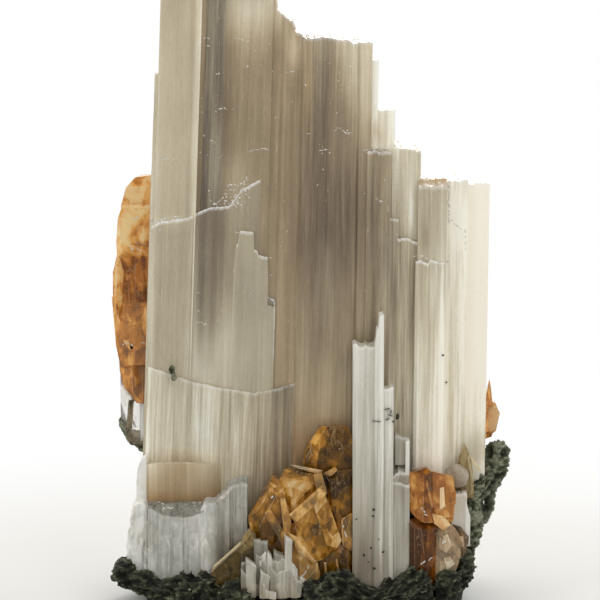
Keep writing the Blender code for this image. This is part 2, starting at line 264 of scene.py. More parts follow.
def divided_block(cuts_x, cuts_y, cuts_z):
    """A unit block cut into a grid on every face, and its corners' places from 0 to 1."""
    bm = bmesh.new()
    bmesh.ops.create_cube(bm, size=1)
    for axis, cuts in enumerate((cuts_x, cuts_y, cuts_z)):
        along = [edge for edge in bm.edges if abs(edge.verts[0].co[axis] - edge.verts[1].co[axis]) > 0.9]
        bmesh.ops.subdivide_edges(bm, edges=along, cuts=cuts, use_grid_fill=True)
    mesh = meshed(bm, "block")
    unit = np.empty(len(mesh.vertices) * 3)
    mesh.vertices.foreach_get("co", unit)
    return mesh, unit.reshape(-1, 3) + 0.5


def fibre_relief(seed, along, z, depth):
    """How far the skin stands out: rounded flutes, and thin sheets that end part of the way up."""
    broad = 0.5 * drift(seed, along / 2.1)
    middle = 0.35 * np.abs(drift(seed + 3, along / 0.9))
    fine = 0.12 * drift(seed + 5, along / 0.36)
    strip = along / 1.1 + 0.3 * drift(seed + 9, along)
    sheet = 0.45 * (z < 6 + 110 * scatter(seed + 7, strip))
    sheet = sheet + 0.3 * (z < 3 + 80 * scatter(seed + 8, strip * 1.7))
    waver = 0.12 * drift_2d(seed + 11, along / 0.9, z / 11)
    return depth * (broad + middle + fine + sheet + waver - 0.7)


def along_profile(u, points):
    return np.interp(u, [point[0] for point in points], [point[1] for point in points])


def stone_object(name, mesh, material):
    mesh.name = name
    mesh.materials.append(material)
    made = bpy.data.objects.new(name, mesh)
    bpy.context.scene.collection.objects.link(made)
    return made


def written_layers(mesh, layers, domain="POINT"):
    """Puts each list of values on the mesh as a named attribute."""
    for title, rows in layers.items():
        kind, field = ("FLOAT_VECTOR", "vector") if title == "fibre" else ("FLOAT", "value")
        layer = mesh.attributes.new(title, kind, domain)
        layer.data.foreach_set(field, np.concatenate(rows).ravel())


CELL_DEEP, CELL_TALL = 0.7, 1.5  # grid on a bundle, front to back and up
HEAD_TALL = 12  # the part of a bundle that is drawn down to its broken top
LIP_TALL, STEP_TALL = 0.16, 0.6  # the two grid rows kept close under a broken top
HAZE_LEVELS = (33, 37, 60, 95)  # heights for the base, heart, heart and head of a bundle
STREAK_LEVELS = (10, 33, 38, 60, 95)


def broken_off(seed, u, w):
    """How far short a bundle's top falls: broad steps, narrow ones and single fibres."""
    step = scatter(seed + 23, u / 2.3 + 0.2 * drift(seed + 21, w / 2)) ** 2
    step = step + 0.6 * scatter(seed + 25, u / 0.9 + 5) ** 3
    step = step + 0.5 * scatter(seed + 27, np.floor(w / 2.6) * 7 + np.floor(u / 3)) ** 2
    return step + 0.25 * scatter(seed + 28, u / 0.3)


class Bundles:
    """Gathers the bundles of one piece into a single mesh with their fibre coordinates."""

    def __init__(self, mists=(), sway=1, grain=0.25):
        self.bm = bmesh.new()
        self.mists = mists
        self.sway = sway
        self.grain = grain
        self.layers = {"fibre": [], "cloud": [], "streak": [], "warm": [], "edge": []}

    def add(self, box, tops, foot=SEAT_Z, cloud=(0.5, 0.5, 0.8), streak=(0.3, 0.5, 1), warm=0,
            ragged=0.4, depth=0.16, seed=1, grain=None, lip=0.5, sway=None, slope=0, ceiling=None,
            roof=None, stain_and_shade=None, across=None, hollow=None, broken=0):
        """A bundle in a box (left, right, front, back), with two top heights or an outline for its top.

        Cloud (milkiness) and streak (contrast) are one value, or three from head to base; cloud may
        also be pairs of height and value. Across and hollow are pairs of a place across and a change
        of milkiness there or a depth that the front is set back. Stain_and_shade warms and darkens a range
        of heights: a real stain in the band above the foot block, and painted shade low on the prisms and
        bundles; roof is the cloud and warmth of the top, and broken is the depth of chips out of the front.
        """
        left, right, front, back = box
        width = right - left
        thick = back - front
        outlined = isinstance(tops[0], tuple)
        high = max(point[1] for point in tops) if outlined else max(tops)
        count_x = int(min(90, max(4, width / (grain or self.grain))))
        count_y = int(min(26, max(2, thick / CELL_DEEP)))
        count_z = int(max(5, (high - foot) / CELL_TALL))
        mesh, unit = divided_block(count_x, count_y, count_z)
        share_x, share_y, share_z = unit.T
        u = left + width * share_x
        w = front + thick * share_y
        top = along_profile(u, tops) if outlined else tops[0] + (tops[1] - tops[0]) * share_x
        top = top - ragged * broken_off(seed, u, w) + slope * (w - front)
        if ceiling:
            top = np.minimum(top, ceiling)
        z = foot + (high - foot) * share_z
        z = z - (high - top) * ease(high - min(HEAD_TALL, 0.6 * (high - foot)), high, z)
        row = np.rint(share_z * (count_z + 1))
        z = np.where(row == count_z, np.maximum(z, top - LIP_TALL), z)
        z = np.where(row == count_z - 1, np.maximum(z, top - STEP_TALL), z)
        on_top = share_z > 1 - TINY
        fade = np.where(on_top, 0.5, 1) * min(1, thick / 1.5)
        du = fibre_relief(seed + 31, w, z, depth) * fade
        dw = fibre_relief(seed, u, z, depth) * fade
        x = u + np.where(share_x > 1 - TINY, du, 0) - np.where(share_x < TINY, du, 0)
        y = w + np.where(share_y > 1 - TINY, dw, 0) - np.where(share_y < TINY, dw, 0)
        if broken:
            chips = drift_2d(seed + 71, u / 1.3, z / 1.7) + 0.5 * drift_2d(seed + 73, u / 0.6, z / 0.8)
            y = y - broken * (1 - share_y) * chips
            x = x + broken * 0.6 * drift_2d(seed + 75, w / 1.4, z / 1.5)
        if hollow:
            y = y + along_profile(u, hollow) * (1 - share_y)
        top_z = z + np.where(on_top, 0.1 * drift_2d(seed + 41, u / 0.35, w / 0.6), 0)
        x = x + (self.sway if sway is None else sway) * (lean(x, top_z) - x)
        mesh.vertices.foreach_set("co", (np.stack([x, y, top_z], axis=1) * MM).ravel())
        self.bm.from_mesh(mesh)
        bpy.data.meshes.remove(mesh)
        rim = np.clip(1.4 - (top - z) / 0.25, 0, 1)
        rim = rim * np.where(on_top, np.clip(1.2 - (w - front) / 0.8, 0, 1), 1)
        self.layers["edge"].append(lip * rim)
        self.layers["fibre"].append(np.stack([u, w, z], axis=1) * MM)
        head, heart, base = streak if isinstance(streak, tuple) else (streak,) * 3
        self.layers["streak"].append(np.interp(z, STREAK_LEVELS, (base, base, heart, heart, head)))
        if not isinstance(cloud, tuple):
            cloud = (cloud,) * 3
        if not isinstance(cloud[0], tuple):
            head, heart, base = cloud
            cloud = tuple(zip(HAZE_LEVELS, (base, heart, heart, head)))
        haze = along_profile(z, cloud)
        tint = np.full(len(z), float(warm))
        # warms and darkens a range of heights: real stain in the band, painted shade low down
        if stain_and_shade:
            start, peak, end, amount = stain_and_shade
            end = end + 0.8 * drift(seed + 61, u / 2.2)
            tint = tint + amount * ease(start, peak, z) * (1 - ease(peak, end, z))
        if across:
            haze = haze + along_profile(u, across) * (ease(36, 48, z) if high > 60 else 1)
        for centre, level, wide, tall, milk, heat in self.mists:
            spot = np.exp(-(((x - centre) / wide) ** 2) - ((z - level) / tall) ** 2) * (1 - ease(-2, 6, w))
            haze = haze + milk * spot
            tint = tint + heat * spot
        if roof:
            haze = np.where(on_top, roof[0], haze)
            tint = np.where(on_top, roof[1], tint)
        self.layers["cloud"].append(haze)
        self.layers["warm"].append(tint)

    def finish(self, name, material):
        mesh = meshed(self.bm, name)
        written_layers(mesh, self.layers)
        return stone_object(name, mesh, material)


CRUSHED_WHITE_AND_HIGHLIGHT = (0.93, 0.92, 0.87)
AMBER_CAST = (0.62, 0.36, 0.13)
BLUE_CAST = (0.72, 0.8, 0.92)


def satin_ulexite(name, stops, through, rough=(0.26, 0.42), frost=0):
    """Fibrous crystal: streaks that follow the fibres, clearer or milkier by the cloud value."""
    look = Shader(name)
    fibre = look.attribute("fibre", "Vector")
    broad = look.noise(look.place(fibre, (640, 640, 30)), detail=3, rough=0.6)
    fine = look.noise(look.place(fibre, (3000, 3000, 70)), detail=3, rough=0.65)
    patch = look.noise(look.place(fibre, (170, 170, 90)), detail=4, rough=0.6)
    grain = look.noise(look.place(fibre, (5200, 5200, 1500)), detail=2)
    stripes = look.math("ADD", look.math("MULTIPLY", look.math("SUBTRACT", broad, 0.5), 1.1),
                        look.math("MULTIPLY", look.math("SUBTRACT", fine, 0.5), 1.6))
    haze = look.math("MULTIPLY_ADD", stripes, look.attribute("streak"), look.attribute("cloud"))
    haze = look.swing(patch, 0.24, haze)
    haze = look.swing(grain, 0.16, haze, clamp=True)
    if frost:
        rime = look.noise(look.place(fibre, (700, 700, 480)), detail=4, rough=0.7, twist=1)
        haze = look.swing(rime, frost, haze, clamp=True)
    tone = look.ramp(haze, stops)
    warm = look.attribute("warm")
    tone = look.mix(look.spread(warm, 0, 1), tone, AMBER_CAST, "MULTIPLY")
    tone = look.mix(look.spread(warm, 0, -1), tone, BLUE_CAST, "MULTIPLY")
    # broken edges painted white: crushed fibres, and partly a painted highlight along them
    lip = look.math("MULTIPLY", look.attribute("edge"), look.spread(grain, 0.25, 0.5), clamp=True)
    look.paint(Base_Color=look.mix(lip, tone, CRUSHED_WHITE_AND_HIGHLIGHT),
               Transmission_Weight=look.spread(haze, 0.1, 0.9, *through),
               Roughness=look.spread(fine, 0.2, 0.8, *rough), IOR=1.5, Specular_IOR_Level=0.35)
    look.bump(look.math("MULTIPLY_ADD", broad, 0.6, look.math("MULTIPLY", fine, 0.5)), 0.25, 0.00008)
    return look.material


SILKY_STOPS = (
    (0, (0.125, 0.093, 0.062)),
    (0.2, (0.25, 0.198, 0.135)),
    (0.4, (0.4, 0.335, 0.225)),
    (0.6, (0.58, 0.51, 0.36)),
    (0.8, (0.75, 0.69, 0.53)),
    (1, (0.99, 0.95, 0.82)),
)
silky = satin_ulexite("silky_ulexite", SILKY_STOPS, (0.3, 0.06))

# Soft places in the slab: across, up, reach across, reach up (mm), then how much milkier and warmer.
MISTS = (
    (-16.6, 41, 4.4, 5.6, 0.18, -0.15),  # pale mist low in the dark bundle
    (-13.8, 46, 1.6, 8, 0.14, -0.12),  # and rising beside the veil
    (-25.4, 56, 0.5, 30, 0.12, -0.15),  # frosted left edge
    (-10.6, 95, 3.2, 5, 0.16, -0.05),  # thin top of the second step, paler: painted light shining through from behind
    (-2.8, 88, 1.1, 2.6, 0.26, 0),  # thin left top of the dark bundle, paler: painted light shining through from behind
    (-0.75, 83, 0.38, 8, 0.26, 0.35),  # golden stripe
    (-0.1, 83, 0.22, 8, 0.16, 0.2),
    (6.2, 86, 1.6, 6, 0.24, -0.15),  # clearer right top of the dark bundle, paler: painted light shining through from behind
    (8.4, 81, 1.2, 8, 0.16, -0.12),
    (-9.5, 97, 5, 4.5, 0.02, -0.22),
    (-12, 68.5, 2.2, 4.5, 0.14, -0.1),  # pale place where the high fracture climbs
    (-4, 47, 3, 11, 0.05, 0),
    (5.5, 60, 5.5, 9, -0.08, 0),
    (-3.2, 73, 1.3, 13, -0.07, 0),
    (-5.5, 95, 2.6, 3.5, 0.13, -0.08),
    # painted light: these three lift the shade in the gap beside the dark bundle and under the high
    # fracture
    (-17.3, 90, 0.5, 10, 0.12, 0),
    (-18.4, 50, 0.45, 12, 0.18, 0),
    (-22.5, 61.9, 3.5, 0.9, 0.1, 0),
    (-10.5, 97.5, 5, 3, -0.06, -0.2),
    (4, 89.5, 5, 1.2, 0.14, -0.1),
    (-0.5, 42, 3.5, 10, -0.05, 0),
    (22.6, 62.5, 1.4, 4.5, 0.3, -0.1),  # frosted head of the right columns
    (-17.2, 50, 2.2, 13, 0, -0.28),  # violet-grey cast of the dark bundle
    (-9.5, 48, 2.6, 9, 0, -0.16),
    (2, 54, 1.8, 8, 0, -0.18),
    (11.8, 57, 1.2, 7, 0, -0.2),
    (18.5, 60, 2.5, 8, 0, -0.12),
    (1.6, 82, 1.4, 9, -0.06, -0.2),
    (10.2, 75.8, 1.3, 2.2, -0.16, 0.34),  # orange block in the first step
    (12.6, 77, 0.5, 3, 0.12, 0),
    (15.5, 63.5, 0.7, 5.5, 0.3, -0.2),  # bluish streak beside the third step
    (17.7, 59.5, 0.8, 3.2, -0.14, 0.2),
    (19.4, 52.5, 1.6, 4.6, 0.14, -0.15),  # milky head of the long streak
    (20.35, 38, 0.42, 22, 0.34, -0.05),  # the long bright streak: a painted sheen highlight along the fibres
    (17.8, 42, 0.8, 13, -0.08, 0),
    (22.9, 38, 1, 11, -0.07, 0),
    (12.4, 51, 1.2, 6, -0.06, -0.2),  # grey-green shade behind the needle
    (21.9, 40, 0.5, 14, -0.14, 0.08),
    (26.4, 25.5, 2.4, 3.4, -0.34, -0.1),  # grey clear place above the clay
    (-1.5, 24, 8, 6.5, -0.06, 0.38),  # amber showing through above the cluster
    (2, 31, 6, 6, 0.12, 0.06),
    (-19.8, 23.6, 5.6, 2, -0.1, 0.55),  # stain showing through behind the foot block
    (-17.5, 28, 1.6, 8, 0.24, -0.1),  # white fibres low on the left
    (-17, 29, 5.5, 8, 0.06, -0.2),
    (-12, 30, 0.45, 7, 0.2, -0.1),
)
left_mass = Bundles(MISTS)
left_mass.add((-26.7, -24.9, -5.5, 1.5), (85, 85.4), cloud=(0.8, 0.76, 0.75), seed=2, lip=1,
    streak=(0.2, 0.2, 0.3))
left_mass.add((-26, -19.5, -8, 3), (99.6, 100.4), streak=(0.12, 0.13, 0.3), seed=3, depth=0.02, ragged=0.5,
    warm=0.07, cloud=((33, 0.66), (37, 0.56), (60, 0.57), (78, 0.64), (95, 0.58)),
    across=((-26, 0.1), (-25.3, 0.02), (-23.4, -0.02), (-21.6, 0), (-20.7, -0.06), (-20.2, 0.1),
    (-19.5, 0.16)))
left_mass.add((-20.2, -8, -8, 9), ((-20.2, 101.6), (-14.4, 101.4), (-13.6, 99.6), (-10.6, 98.8), (-8, 97)),
    streak=(0.22, 0.2, 0.4), seed=5, depth=0.06, cloud=((33, 0.52), (37, 0.44), (60, 0.38), (86, 0.41),
    (94, 0.53)), stain_and_shade=(10, 24, 36, 0.15), hollow=((-20.2, 0.8), (-16, 0.6), (-13.2, 0), (-8, 0)),
    warm=0.28, across=((-20.2, 0.1), (-19.8, -0.02), (-17.6, -0.1), (-16.6, -0.17), (-15.2, -0.1),
    (-14.2, -0.04), (-12.9, 0.03), (-8, 0)))
left_mass.add((-19.2, -14.4, -7.45, 2), (101.7, 101.5), cloud=((33, 0.5), (52, 0.28), (88, 0.28),
    (96, 0.34)), warm=-0.36, streak=(0.45, 0.4, 0.5), seed=4, depth=0.12, hollow=((-19.2, 0.35), (-18.6, 0),
    (-15, 0), (-14.4, 0.3)), across=((-19.2, -0.06), (-18.2, -0.1), (-17.3, 0), (-16.4, -0.08),
    (-15.4, 0.02), (-14.4, 0.06)))
ulexite_left_mass = left_mass.finish("ulexite_left_mass", silky)

middle_mass = Bundles(MISTS)
middle_mass.add((-8.6, -2.7, -7.8, 9.5), ((-8.6, 98.6), (-7.8, 97.4), (-7.4, 94.9), (-6.8, 94.5),
    (-5.8, 93.7), (-4.9, 93.3), (-4.3, 92), (-2.7, 91)), streak=(0.22, 0.18, 0.3), seed=7, depth=0.04,
    warm=0.36, cloud=((30, 0.52), (45, 0.48), (60, 0.42), (88, 0.43), (94, 0.54)), stain_and_shade=(10, 26, 37, 0.2),
    across=((-8.6, 0), (-6.7, 0.02), (-6.3, -0.1), (-6, 0.03), (-4.8, 0), (-2.7, -0.06)))
middle_mass.add((-3.1, 8.8, -8.4, 10), ((-3.1, 90.5), (0, 90.6), (5, 90.2), (5.4, 89.8), (8.8, 90)),
    streak=(0.34, 0.3, 0.25), seed=10, depth=0.09, warm=0.24, cloud=((26, 0.54), (38, 0.47), (48, 0.35),
    (60, 0.2), (75, 0.27), (88, 0.36)), stain_and_shade=(10, 28, 39, 0.1), across=((-3.1, 0.14), (-2.4, 0.04),
    (-1.4, 0.03), (-0.2, 0.04), (1.2, -0.06), (2.4, 0), (4.8, 0.04), (6.2, 0.1), (6.45, -0.14),
    (6.75, 0.12), (8.8, 0.3)), hollow=((-3.1, 0.5), (-2.6, 0), (6.2, 0), (6.6, 0.3), (8.8, 0.4)))
ulexite_middle_mass = middle_mass.finish("ulexite_middle_mass", silky)

right_mass = Bundles(MISTS)
right_mass.add((8.3, 9.8, -7.6, 10.5), (87.6, 87.4), cloud=((50, 0.7), (70, 0.9), (80, 1)), warm=-0.12,
    seed=12, depth=0.05)
right_mass.add((8, 12.5, -7.2, 10.5), (79.7, 79.5), cloud=((40, 0.42), (60, 0.55), (70, 0.8), (79, 0.9)),
    warm=-0.05, seed=13, depth=0.05, streak=(0.25, 0.3, 0.3))
right_mass.add((8.1, 11.9, -8.9, -6.6), (73.2, 72.9), cloud=((30, 0.5), (45, 0.38), (60, 0.28), (72, 0.36)),
    warm=0.16, streak=(0.3, 0.35, 0.4), seed=14, depth=0.06, lip=0.8, across=((8.1, 0.1), (9, -0.04),
    (10.2, 0.02), (11.9, 0.08)))
right_mass.add((12.1, 16.6, -7.4, 10.5), (73.9, 73.2), cloud=((24, 0.7), (35, 0.62), (48, 0.5), (58, 0.56),
    (68, 0.72)), seed=15, depth=0.06, streak=(0.3, 0.35, 0.4))
right_mass.add((16.2, 20.7, -9, 10.5), (67.4, 67.5), slope=0.55, ceiling=68.4, cloud=((34, 0.8), (48, 0.68),
    (54, 0.6), (64, 0.56)), streak=(0.25, 0.3, 0.35), seed=16, ragged=0.2, depth=0.06, roof=(0.62, 0.62),
    lip=0.6)
# the two right columns are set milkiest; that paleness is partly painted light shining through them from
# behind
right_mass.add((20.3, 24.1, -7.2, 10), (68.4, 68.2), foot=9, cloud=((34, 0.96), (50, 0.96), (66, 0.9)),
    streak=0.35, seed=17, depth=0.06)
right_mass.add((23.7, 27.5, -6.2, 9), (68, 67.9), foot=15.5, cloud=(1.06, 1.06, 1.02), warm=0.05,
    streak=(0.2, 0.2, 0.25), seed=18, depth=0.05)
# its across values lighten its right side: painted light lifting the shade behind the needle
right_mass.add((9.6, 13.2, -8.1, -6.8), (63.6, 62.4), cloud=((24, 0.72), (40, 0.56), (50, 0.38),
    (62, 0.31)), seed=19, ragged=1, lip=1, depth=0.06, hollow=((9.6, 0.2), (10.2, 0), (13.2, 0)),
    across=((11, 0), (12, 0.16), (13.2, 0.22)))
right_mass.add((13, 16.3, -8.2, -6.8), (60.2, 59), cloud=((24, 0.8), (40, 0.62), (50, 0.46), (58, 0.42)),
    seed=20, ragged=1, lip=1, depth=0.06, hollow=((13, 0.1), (13.4, 0), (16.3, 0)),
    across=((13, 0.08), (13.6, 0), (15.4, 0), (15.9, 0.08)))
right_mass.add((15.9, 20.6, -9.6, -8.4), (56.6, 55.6), cloud=((24, 0.92), (38, 0.86), (46, 0.68),
    (54, 0.56)), streak=(0.3, 0.35, 0.35), seed=21, ragged=0.7, lip=1, depth=0.08,
    hollow=((15.9, 0.5), (16.4, 0), (20, 0), (20.6, 0.3)), across=((15.9, 0.16), (16.6, 0)))
ulexite_right_mass = right_mass.finish("ulexite_right_mass", silky)

back_mass = Bundles(MISTS, grain=0.4)
BACK_BUNDLES = (((-23.4, -13.6, 2.2, 13), (92.4, 90.8), (0.5, 0.5, 0.75)), ((-14.2, -4, 7.6, 15.2),
    (86.2, 87.6), (0.45, 0.5, 0.75)), ((-4.6, 6.2, 8.6, 15.8), (80.8, 79.2), (0.4, 0.5, 0.75)),
    ((5.6, 15.4, 8.8, 15), (65.8, 64.4), (0.5, 0.5, 0.75)), ((14.8, 24.6, 8, 13.6), (57.6, 55.8),
    (0.6, 0.6, 0.75)), ((-21, -9, 12.2, 16.6), (42, 38.4), (0.6, 0.6, 0.85)), ((-6, 3.4, 14.8, 18),
    (29.2, 33.4), (0.6, 0.6, 0.85)), ((8.6, 19, 13, 16.8), (26.4, 24), (0.6, 0.6, 0.85)),)
for number, (box, tops, cloud) in enumerate(BACK_BUNDLES):
    back_mass.add(box, tops, cloud=cloud, seed=30 + number)
ulexite_back_mass = back_mass.finish("ulexite_back_mass", silky)

# Thin sheets that lie on the slab and end at its two old fractures, where their edges are crushed white;
# that white is partly a painted highlight, the bright line where light catches the broken edges.
FRACTURE_HIGH = ((-26.8, 60.7), (-25.2, 61.7), (-20.4, 62.6), (-18.8, 63.3), (-17.5, 64), (-14.4, 64.3),
    (-12.5, 66.7), (-9.7, 68.3), (-7.4, 68.6))
FRACTURE_LOW = ((-26, 38.8), (-24.4, 38.4), (-19.2, 36.5), (-15.3, 35.7), (-9.5, 34.9), (-5.8, 35.5),
    (-1.9, 36.5))
VEIL = ((-14.8, 44), (-14.2, 44.5), (-14.15, 49.5), (-13.7, 50), (-13.65, 54), (-13.1, 54.6), (-13.05, 58),
    (-12.55, 58.6), (-12.5, 60.4), (-10.2, 60.2), (-10.15, 57.6), (-9.4, 57.2), (-9.35, 56.6), (-7.8, 56.2),
    (-7.75, 50), (-6.6, 49.4), (-6.55, 40))
sheets = Bundles(MISTS)
sheets.add((-26.4, -7.2, -8.2, -6.9), FRACTURE_HIGH, cloud=((33, 0.6), (40, 0.5), (60, 0.48)),
    streak=(0.14, 0.16, 0.3), seed=50, depth=0.02, ragged=0.14, lip=1.1, hollow=((-26, 0.3), (-25.6, 0),
    (-19.9, 0), (-19.5, 0.5), (-14.9, 0.5), (-14.3, 0.1), (-9.5, 0.2), (-7.2, 0.8)),
    across=((-26, 0.12), (-25.2, 0.02), (-20.8, 0.02), (-19.9, 0.08), (-19.4, -0.14), (-18.4, -0.26),
    (-17.4, -0.18), (-16.6, -0.28), (-15.2, -0.22), (-14.4, -0.12), (-13, -0.08), (-7.2, -0.1)))
sheets.add((-14.9, -6.4, -8.45, -7.6), VEIL, cloud=(0.54, 0.52, 0.54), streak=(0.1, 0.14, 0.3), warm=-0.16,
    seed=53, depth=0.02, ragged=0.15, lip=0.8, hollow=((-14.9, 0.8), (-13.4, 0.4), (-12.2, 0), (-7.6, 0),
    (-6.4, 0.3)))
sheets.add((-26.2, -2, -8.75, -6.9), FRACTURE_LOW, cloud=((20, 0.66), (28, 0.68), (36, 0.62)),
    streak=(0.4, 0.4, 0.5), seed=54, depth=0.08, ragged=0.12, lip=0.5, warm=-0.04,
    across=((-26.2, 0.14), (-24.6, 0.06), (-21, 0.04), (-19.4, -0.16), (-18, -0.06), (-16.4, 0.04),
    (-15.2, -0.06), (-13.4, -0.18), (-11.8, -0.1), (-10.6, -0.02), (-8.6, -0.2), (-5, -0.3), (-2, -0.34)),
    hollow=((-25.6, 0.4), (-25, 0.1), (-20, 0), (-17, 0.25), (-13, 0.1), (-8, 0.1), (-4.6, 0.4), (-2, 1.1)))
sheets.add((-27, -13.6, -9.4, -8), ((-27, 23.4), (-24, 23.8), (-18, 23.7), (-13.6, 23.5)),
    cloud=((17, 0.58), (18.6, 0.62), (20.5, 0.6), (22.4, 0.66), (23.6, 0.78)), streak=0.25, warm=0.05,
    roof=(0.66, 0), stain_and_shade=(15, 17, 23.2, 0.8), seed=71, depth=0.03, ragged=0.1, sway=0, lip=0,
    across=((-27, 0.16), (-24.6, 0.1), (-22, 0), (-18, -0.08), (-15, -0.14), (-13.6, -0.08)),
    hollow=((-27, 0.8), (-26.2, 0.2), (-25, 0), (-16.4, 0), (-13.6, 1)))
ulexite_sheets = sheets.finish("ulexite_sheets", silky)

SLAB = (ulexite_left_mass, ulexite_middle_mass, ulexite_right_mass, ulexite_back_mass, ulexite_sheets)
for piece in SLAB:
    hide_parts("ulexite_main_mass")
    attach(piece, "root")

# ---------------------------------------------------------------------------------------------
# Crushed flakes: where the slab was knocked or cracked, the fibres are bruised into tiny white
# flakes. They lie on its skin in short rows, along the two fractures and at the small ledges; those
# scattered over the skin also stand in for glints, as painted glints.
# ---------------------------------------------------------------------------------------------
FLAKE_STEP, FLAKE_GAPS = 0.28, 0.42  # from one flake of a row to the next, and the share left out
FLAKE_THICK = 0.16
IN_FRONT = -60  # from here the skin is felt for, looking back
SCRATCH_TALL, SCRATCH_STEP, SCRATCH_REACH = 1.2, 0.4, 0.42


class Flakes:
    """Lays small flakes on the skin of the given pieces, in rows or scattered."""

    def __init__(self, pieces, seed):
        graph = bpy.context.evaluated_depsgraph_get()
        self.skins = [BVHTree.FromObject(piece, graph) for piece in pieces]
        self.luck = np.random.default_rng(seed)
        self.bm = bmesh.new()
        bm = bmesh.new()
        bmesh.ops.create_icosphere(bm, subdivisions=1, radius=0.5)
        self.one = meshed(bm, "flake")
        self.round = [vert.co.copy() for vert in self.one.vertices]

    def lay(self, x, z, wide, tall, angle):
        reached = []
        for skin in self.skins:
            spot = skin.ray_cast(Vector((x, IN_FRONT, z)) * MM, Vector((0, 1, 0)))[0]
            if spot:
                reached.append(spot.y)
        if not reached:
            return
        shape = Matrix.Translation((x * MM, min(reached), z * MM)) @ Matrix.Rotation(-angle, 4, "Y")
        shape = shape @ Matrix.Diagonal((wide * MM, FLAKE_THICK * MM, tall * MM, 1))
        self.one.vertices.foreach_set("co", [value for point in self.round for value in shape @ point])
        self.bm.from_mesh(self.one)

    def row(self, points, size=0.2, jitter=0.1):
        for (x, z), (next_x, next_z) in zip(points, points[1:]):
            length = math.hypot(next_x - x, next_z - z)
            angle = math.atan2(next_z - z, next_x - x)
            count = max(1, int(length / FLAKE_STEP))
            for number in range(count):
                if self.luck.random() < FLAKE_GAPS:
                    continue
                share = (number + 0.5 + 0.4 * self.luck.normal()) / count
                self.lay(x + (next_x - x) * share + jitter * self.luck.normal() * 0.3,
                         z + (next_z - z) * share + jitter * self.luck.normal(),
                         0.45 + 0.35 * self.luck.random(), size * (0.5 + self.luck.random()),
                         angle + 0.3 * self.luck.normal())

    def spot(self, low, high):
        return [start + (end - start) * self.luck.random() for start, end in zip(low, high)]

    def cast(self, count, low, high, size=0.14):
        for _ in range(count):
            wide = size * (0.5 + self.luck.random() ** 2 * 1.6)
            x, z = self.spot(low, high)
            self.lay(x, z, wide, wide * (0.5 + self.luck.random()), self.luck.random() * 3)

    def scratch(self, count, low, high):
        for _ in range(count):
            x, z = self.spot(low, high)
            reach = SCRATCH_TALL * (0.4 + self.luck.random() ** 2)
            for part in range(int(reach / SCRATCH_STEP)):
                beside = x + 0.02 * self.luck.normal()
                hair = 0.05 + 0.05 * self.luck.random()
                self.lay(beside, z + SCRATCH_STEP * part, hair, SCRATCH_REACH, 0.03)

    def finish(self, name, material):
        return stone_object(name, meshed(self.bm, name), material)


# white flakes: crushed fibres, and where they stand in for glints, painted glints
look = Shader("crushed_white_and_glints")
place = look.object_place()
crumb = look.noise(place, scale=3000, detail=3)
look.paint(Base_Color=look.ramp(crumb, ((0.3, (0.46, 0.43, 0.36)), (0.7, (0.8, 0.78, 0.71)))),
    Roughness=look.spread(crumb, 0.3, 0.7, 0.25, 0.5))
look.bump(crumb, 0.3, 0.00005)
crushed_white_and_glints = look.material

flakes = Flakes((ulexite_left_mass, ulexite_middle_mass, ulexite_right_mass, ulexite_sheets), 7)
LEDGES = (((-17.1, 90.3), (-16, 90.3)), ((-16.8, 89.1), (-16, 89.1)), ((-3.9, 85.1), (-1.7, 85.1)),
    ((-12.4, 90.2), (-11.2, 90.2), (-10.4, 89.7), (-9.8, 89.9)), ((-10, 88.3), (-8.7, 88.3)),
    ((-10.9, 92.3), (-10.1, 92.5), (-9.6, 91.9), (-8.7, 91.6)), ((-10, 72.7), (-8.8, 73), (-7.5, 73.1),
    (-6.4, 72.8)), ((-24.5, 71.4), (-22.8, 71.7), (-21.4, 71.4)), ((-17, 75.3), (-16.1, 74.8)),
    ((-16.2, 74.2), (-15.6, 74.4), (-15, 74.1)), ((-14.5, 78.9), (-14.2, 79.4), (-13.6, 79.4), (-13.4, 79)),
    ((-1.1, 75.5), (-0.3, 75.5)), ((0.4, 73.1), (1.4, 72.9), (2.3, 73)), ((3.5, 76.1), (4.3, 76.4),
    (4.9, 75.9), (6, 75.5)), ((8.1, 73), (9.9, 73.1), (11.8, 73)), ((10.1, 65.3), (11.1, 65), (11.8, 64.2),
    (12.6, 64.4), (13.2, 65.5)), ((13.1, 64.2), (14.5, 64.4)), ((13, 55.6), (13.7, 56.1), (14.2, 55.9)),
    ((15.2, 55.9), (15.8, 56.2), (16.9, 56.4), (18.6, 55.8)), ((18.6, 55.4), (20, 55.1), (21.4, 55.4)),
    ((21.2, 65.2), (21.5, 62.3), (22.3, 61.4), (23.3, 60.5)), ((24, 60.5), (24.1, 56.7)),
    ((-18.4, 50.5), (-17.7, 50.4)), ((-18.4, 47.7), (-17.6, 47.7)), ((-18.5, 46.1), (-17.8, 45.8),
    (-16.7, 45.5)), ((-24.9, 50.5), (-24.2, 50.6), (-23.1, 50.5)), ((-12.1, 60.1), (-10.8, 60),
    (-10, 59.7)), ((-8.8, 56.2), (-7.8, 56.1)), ((-10.5, 51), (-9.7, 50.5), (-9.1, 50.9), (-8.5, 50.5)),
    ((-14.3, 47.9), (-13.8, 47.2)),)
for points in LEDGES:
    flakes.row(points, size=0.14, jitter=0.08)
CRUSHED_HIGH = (((-15.9, 64.9), (-15.3, 64.5), (-14.5, 65), (-13.8, 65.8), (-13.1, 66.4)),
    ((21.3, 67.4), (21.4, 64.4), (21.5, 61.1)), ((-13.3, 67.2), (-11.9, 67.4), (-10.9, 67.7), (-9.7, 68.6)),
    ((-12.5, 66.1), (-11.9, 65.5), (-11.3, 64.7)), ((-12.4, 64.4), (-11.6, 63.9)),
    ((-24.4, 84.9), (-23.8, 85)),)
for points in CRUSHED_HIGH:
    flakes.row(points, size=0.2, jitter=0.2)
for points in (((-25.6, 61.7), (-20.6, 62.7)), ((-25.2, 61.4), (-21, 62.3))):
    flakes.row(points, size=0.16, jitter=0.08)
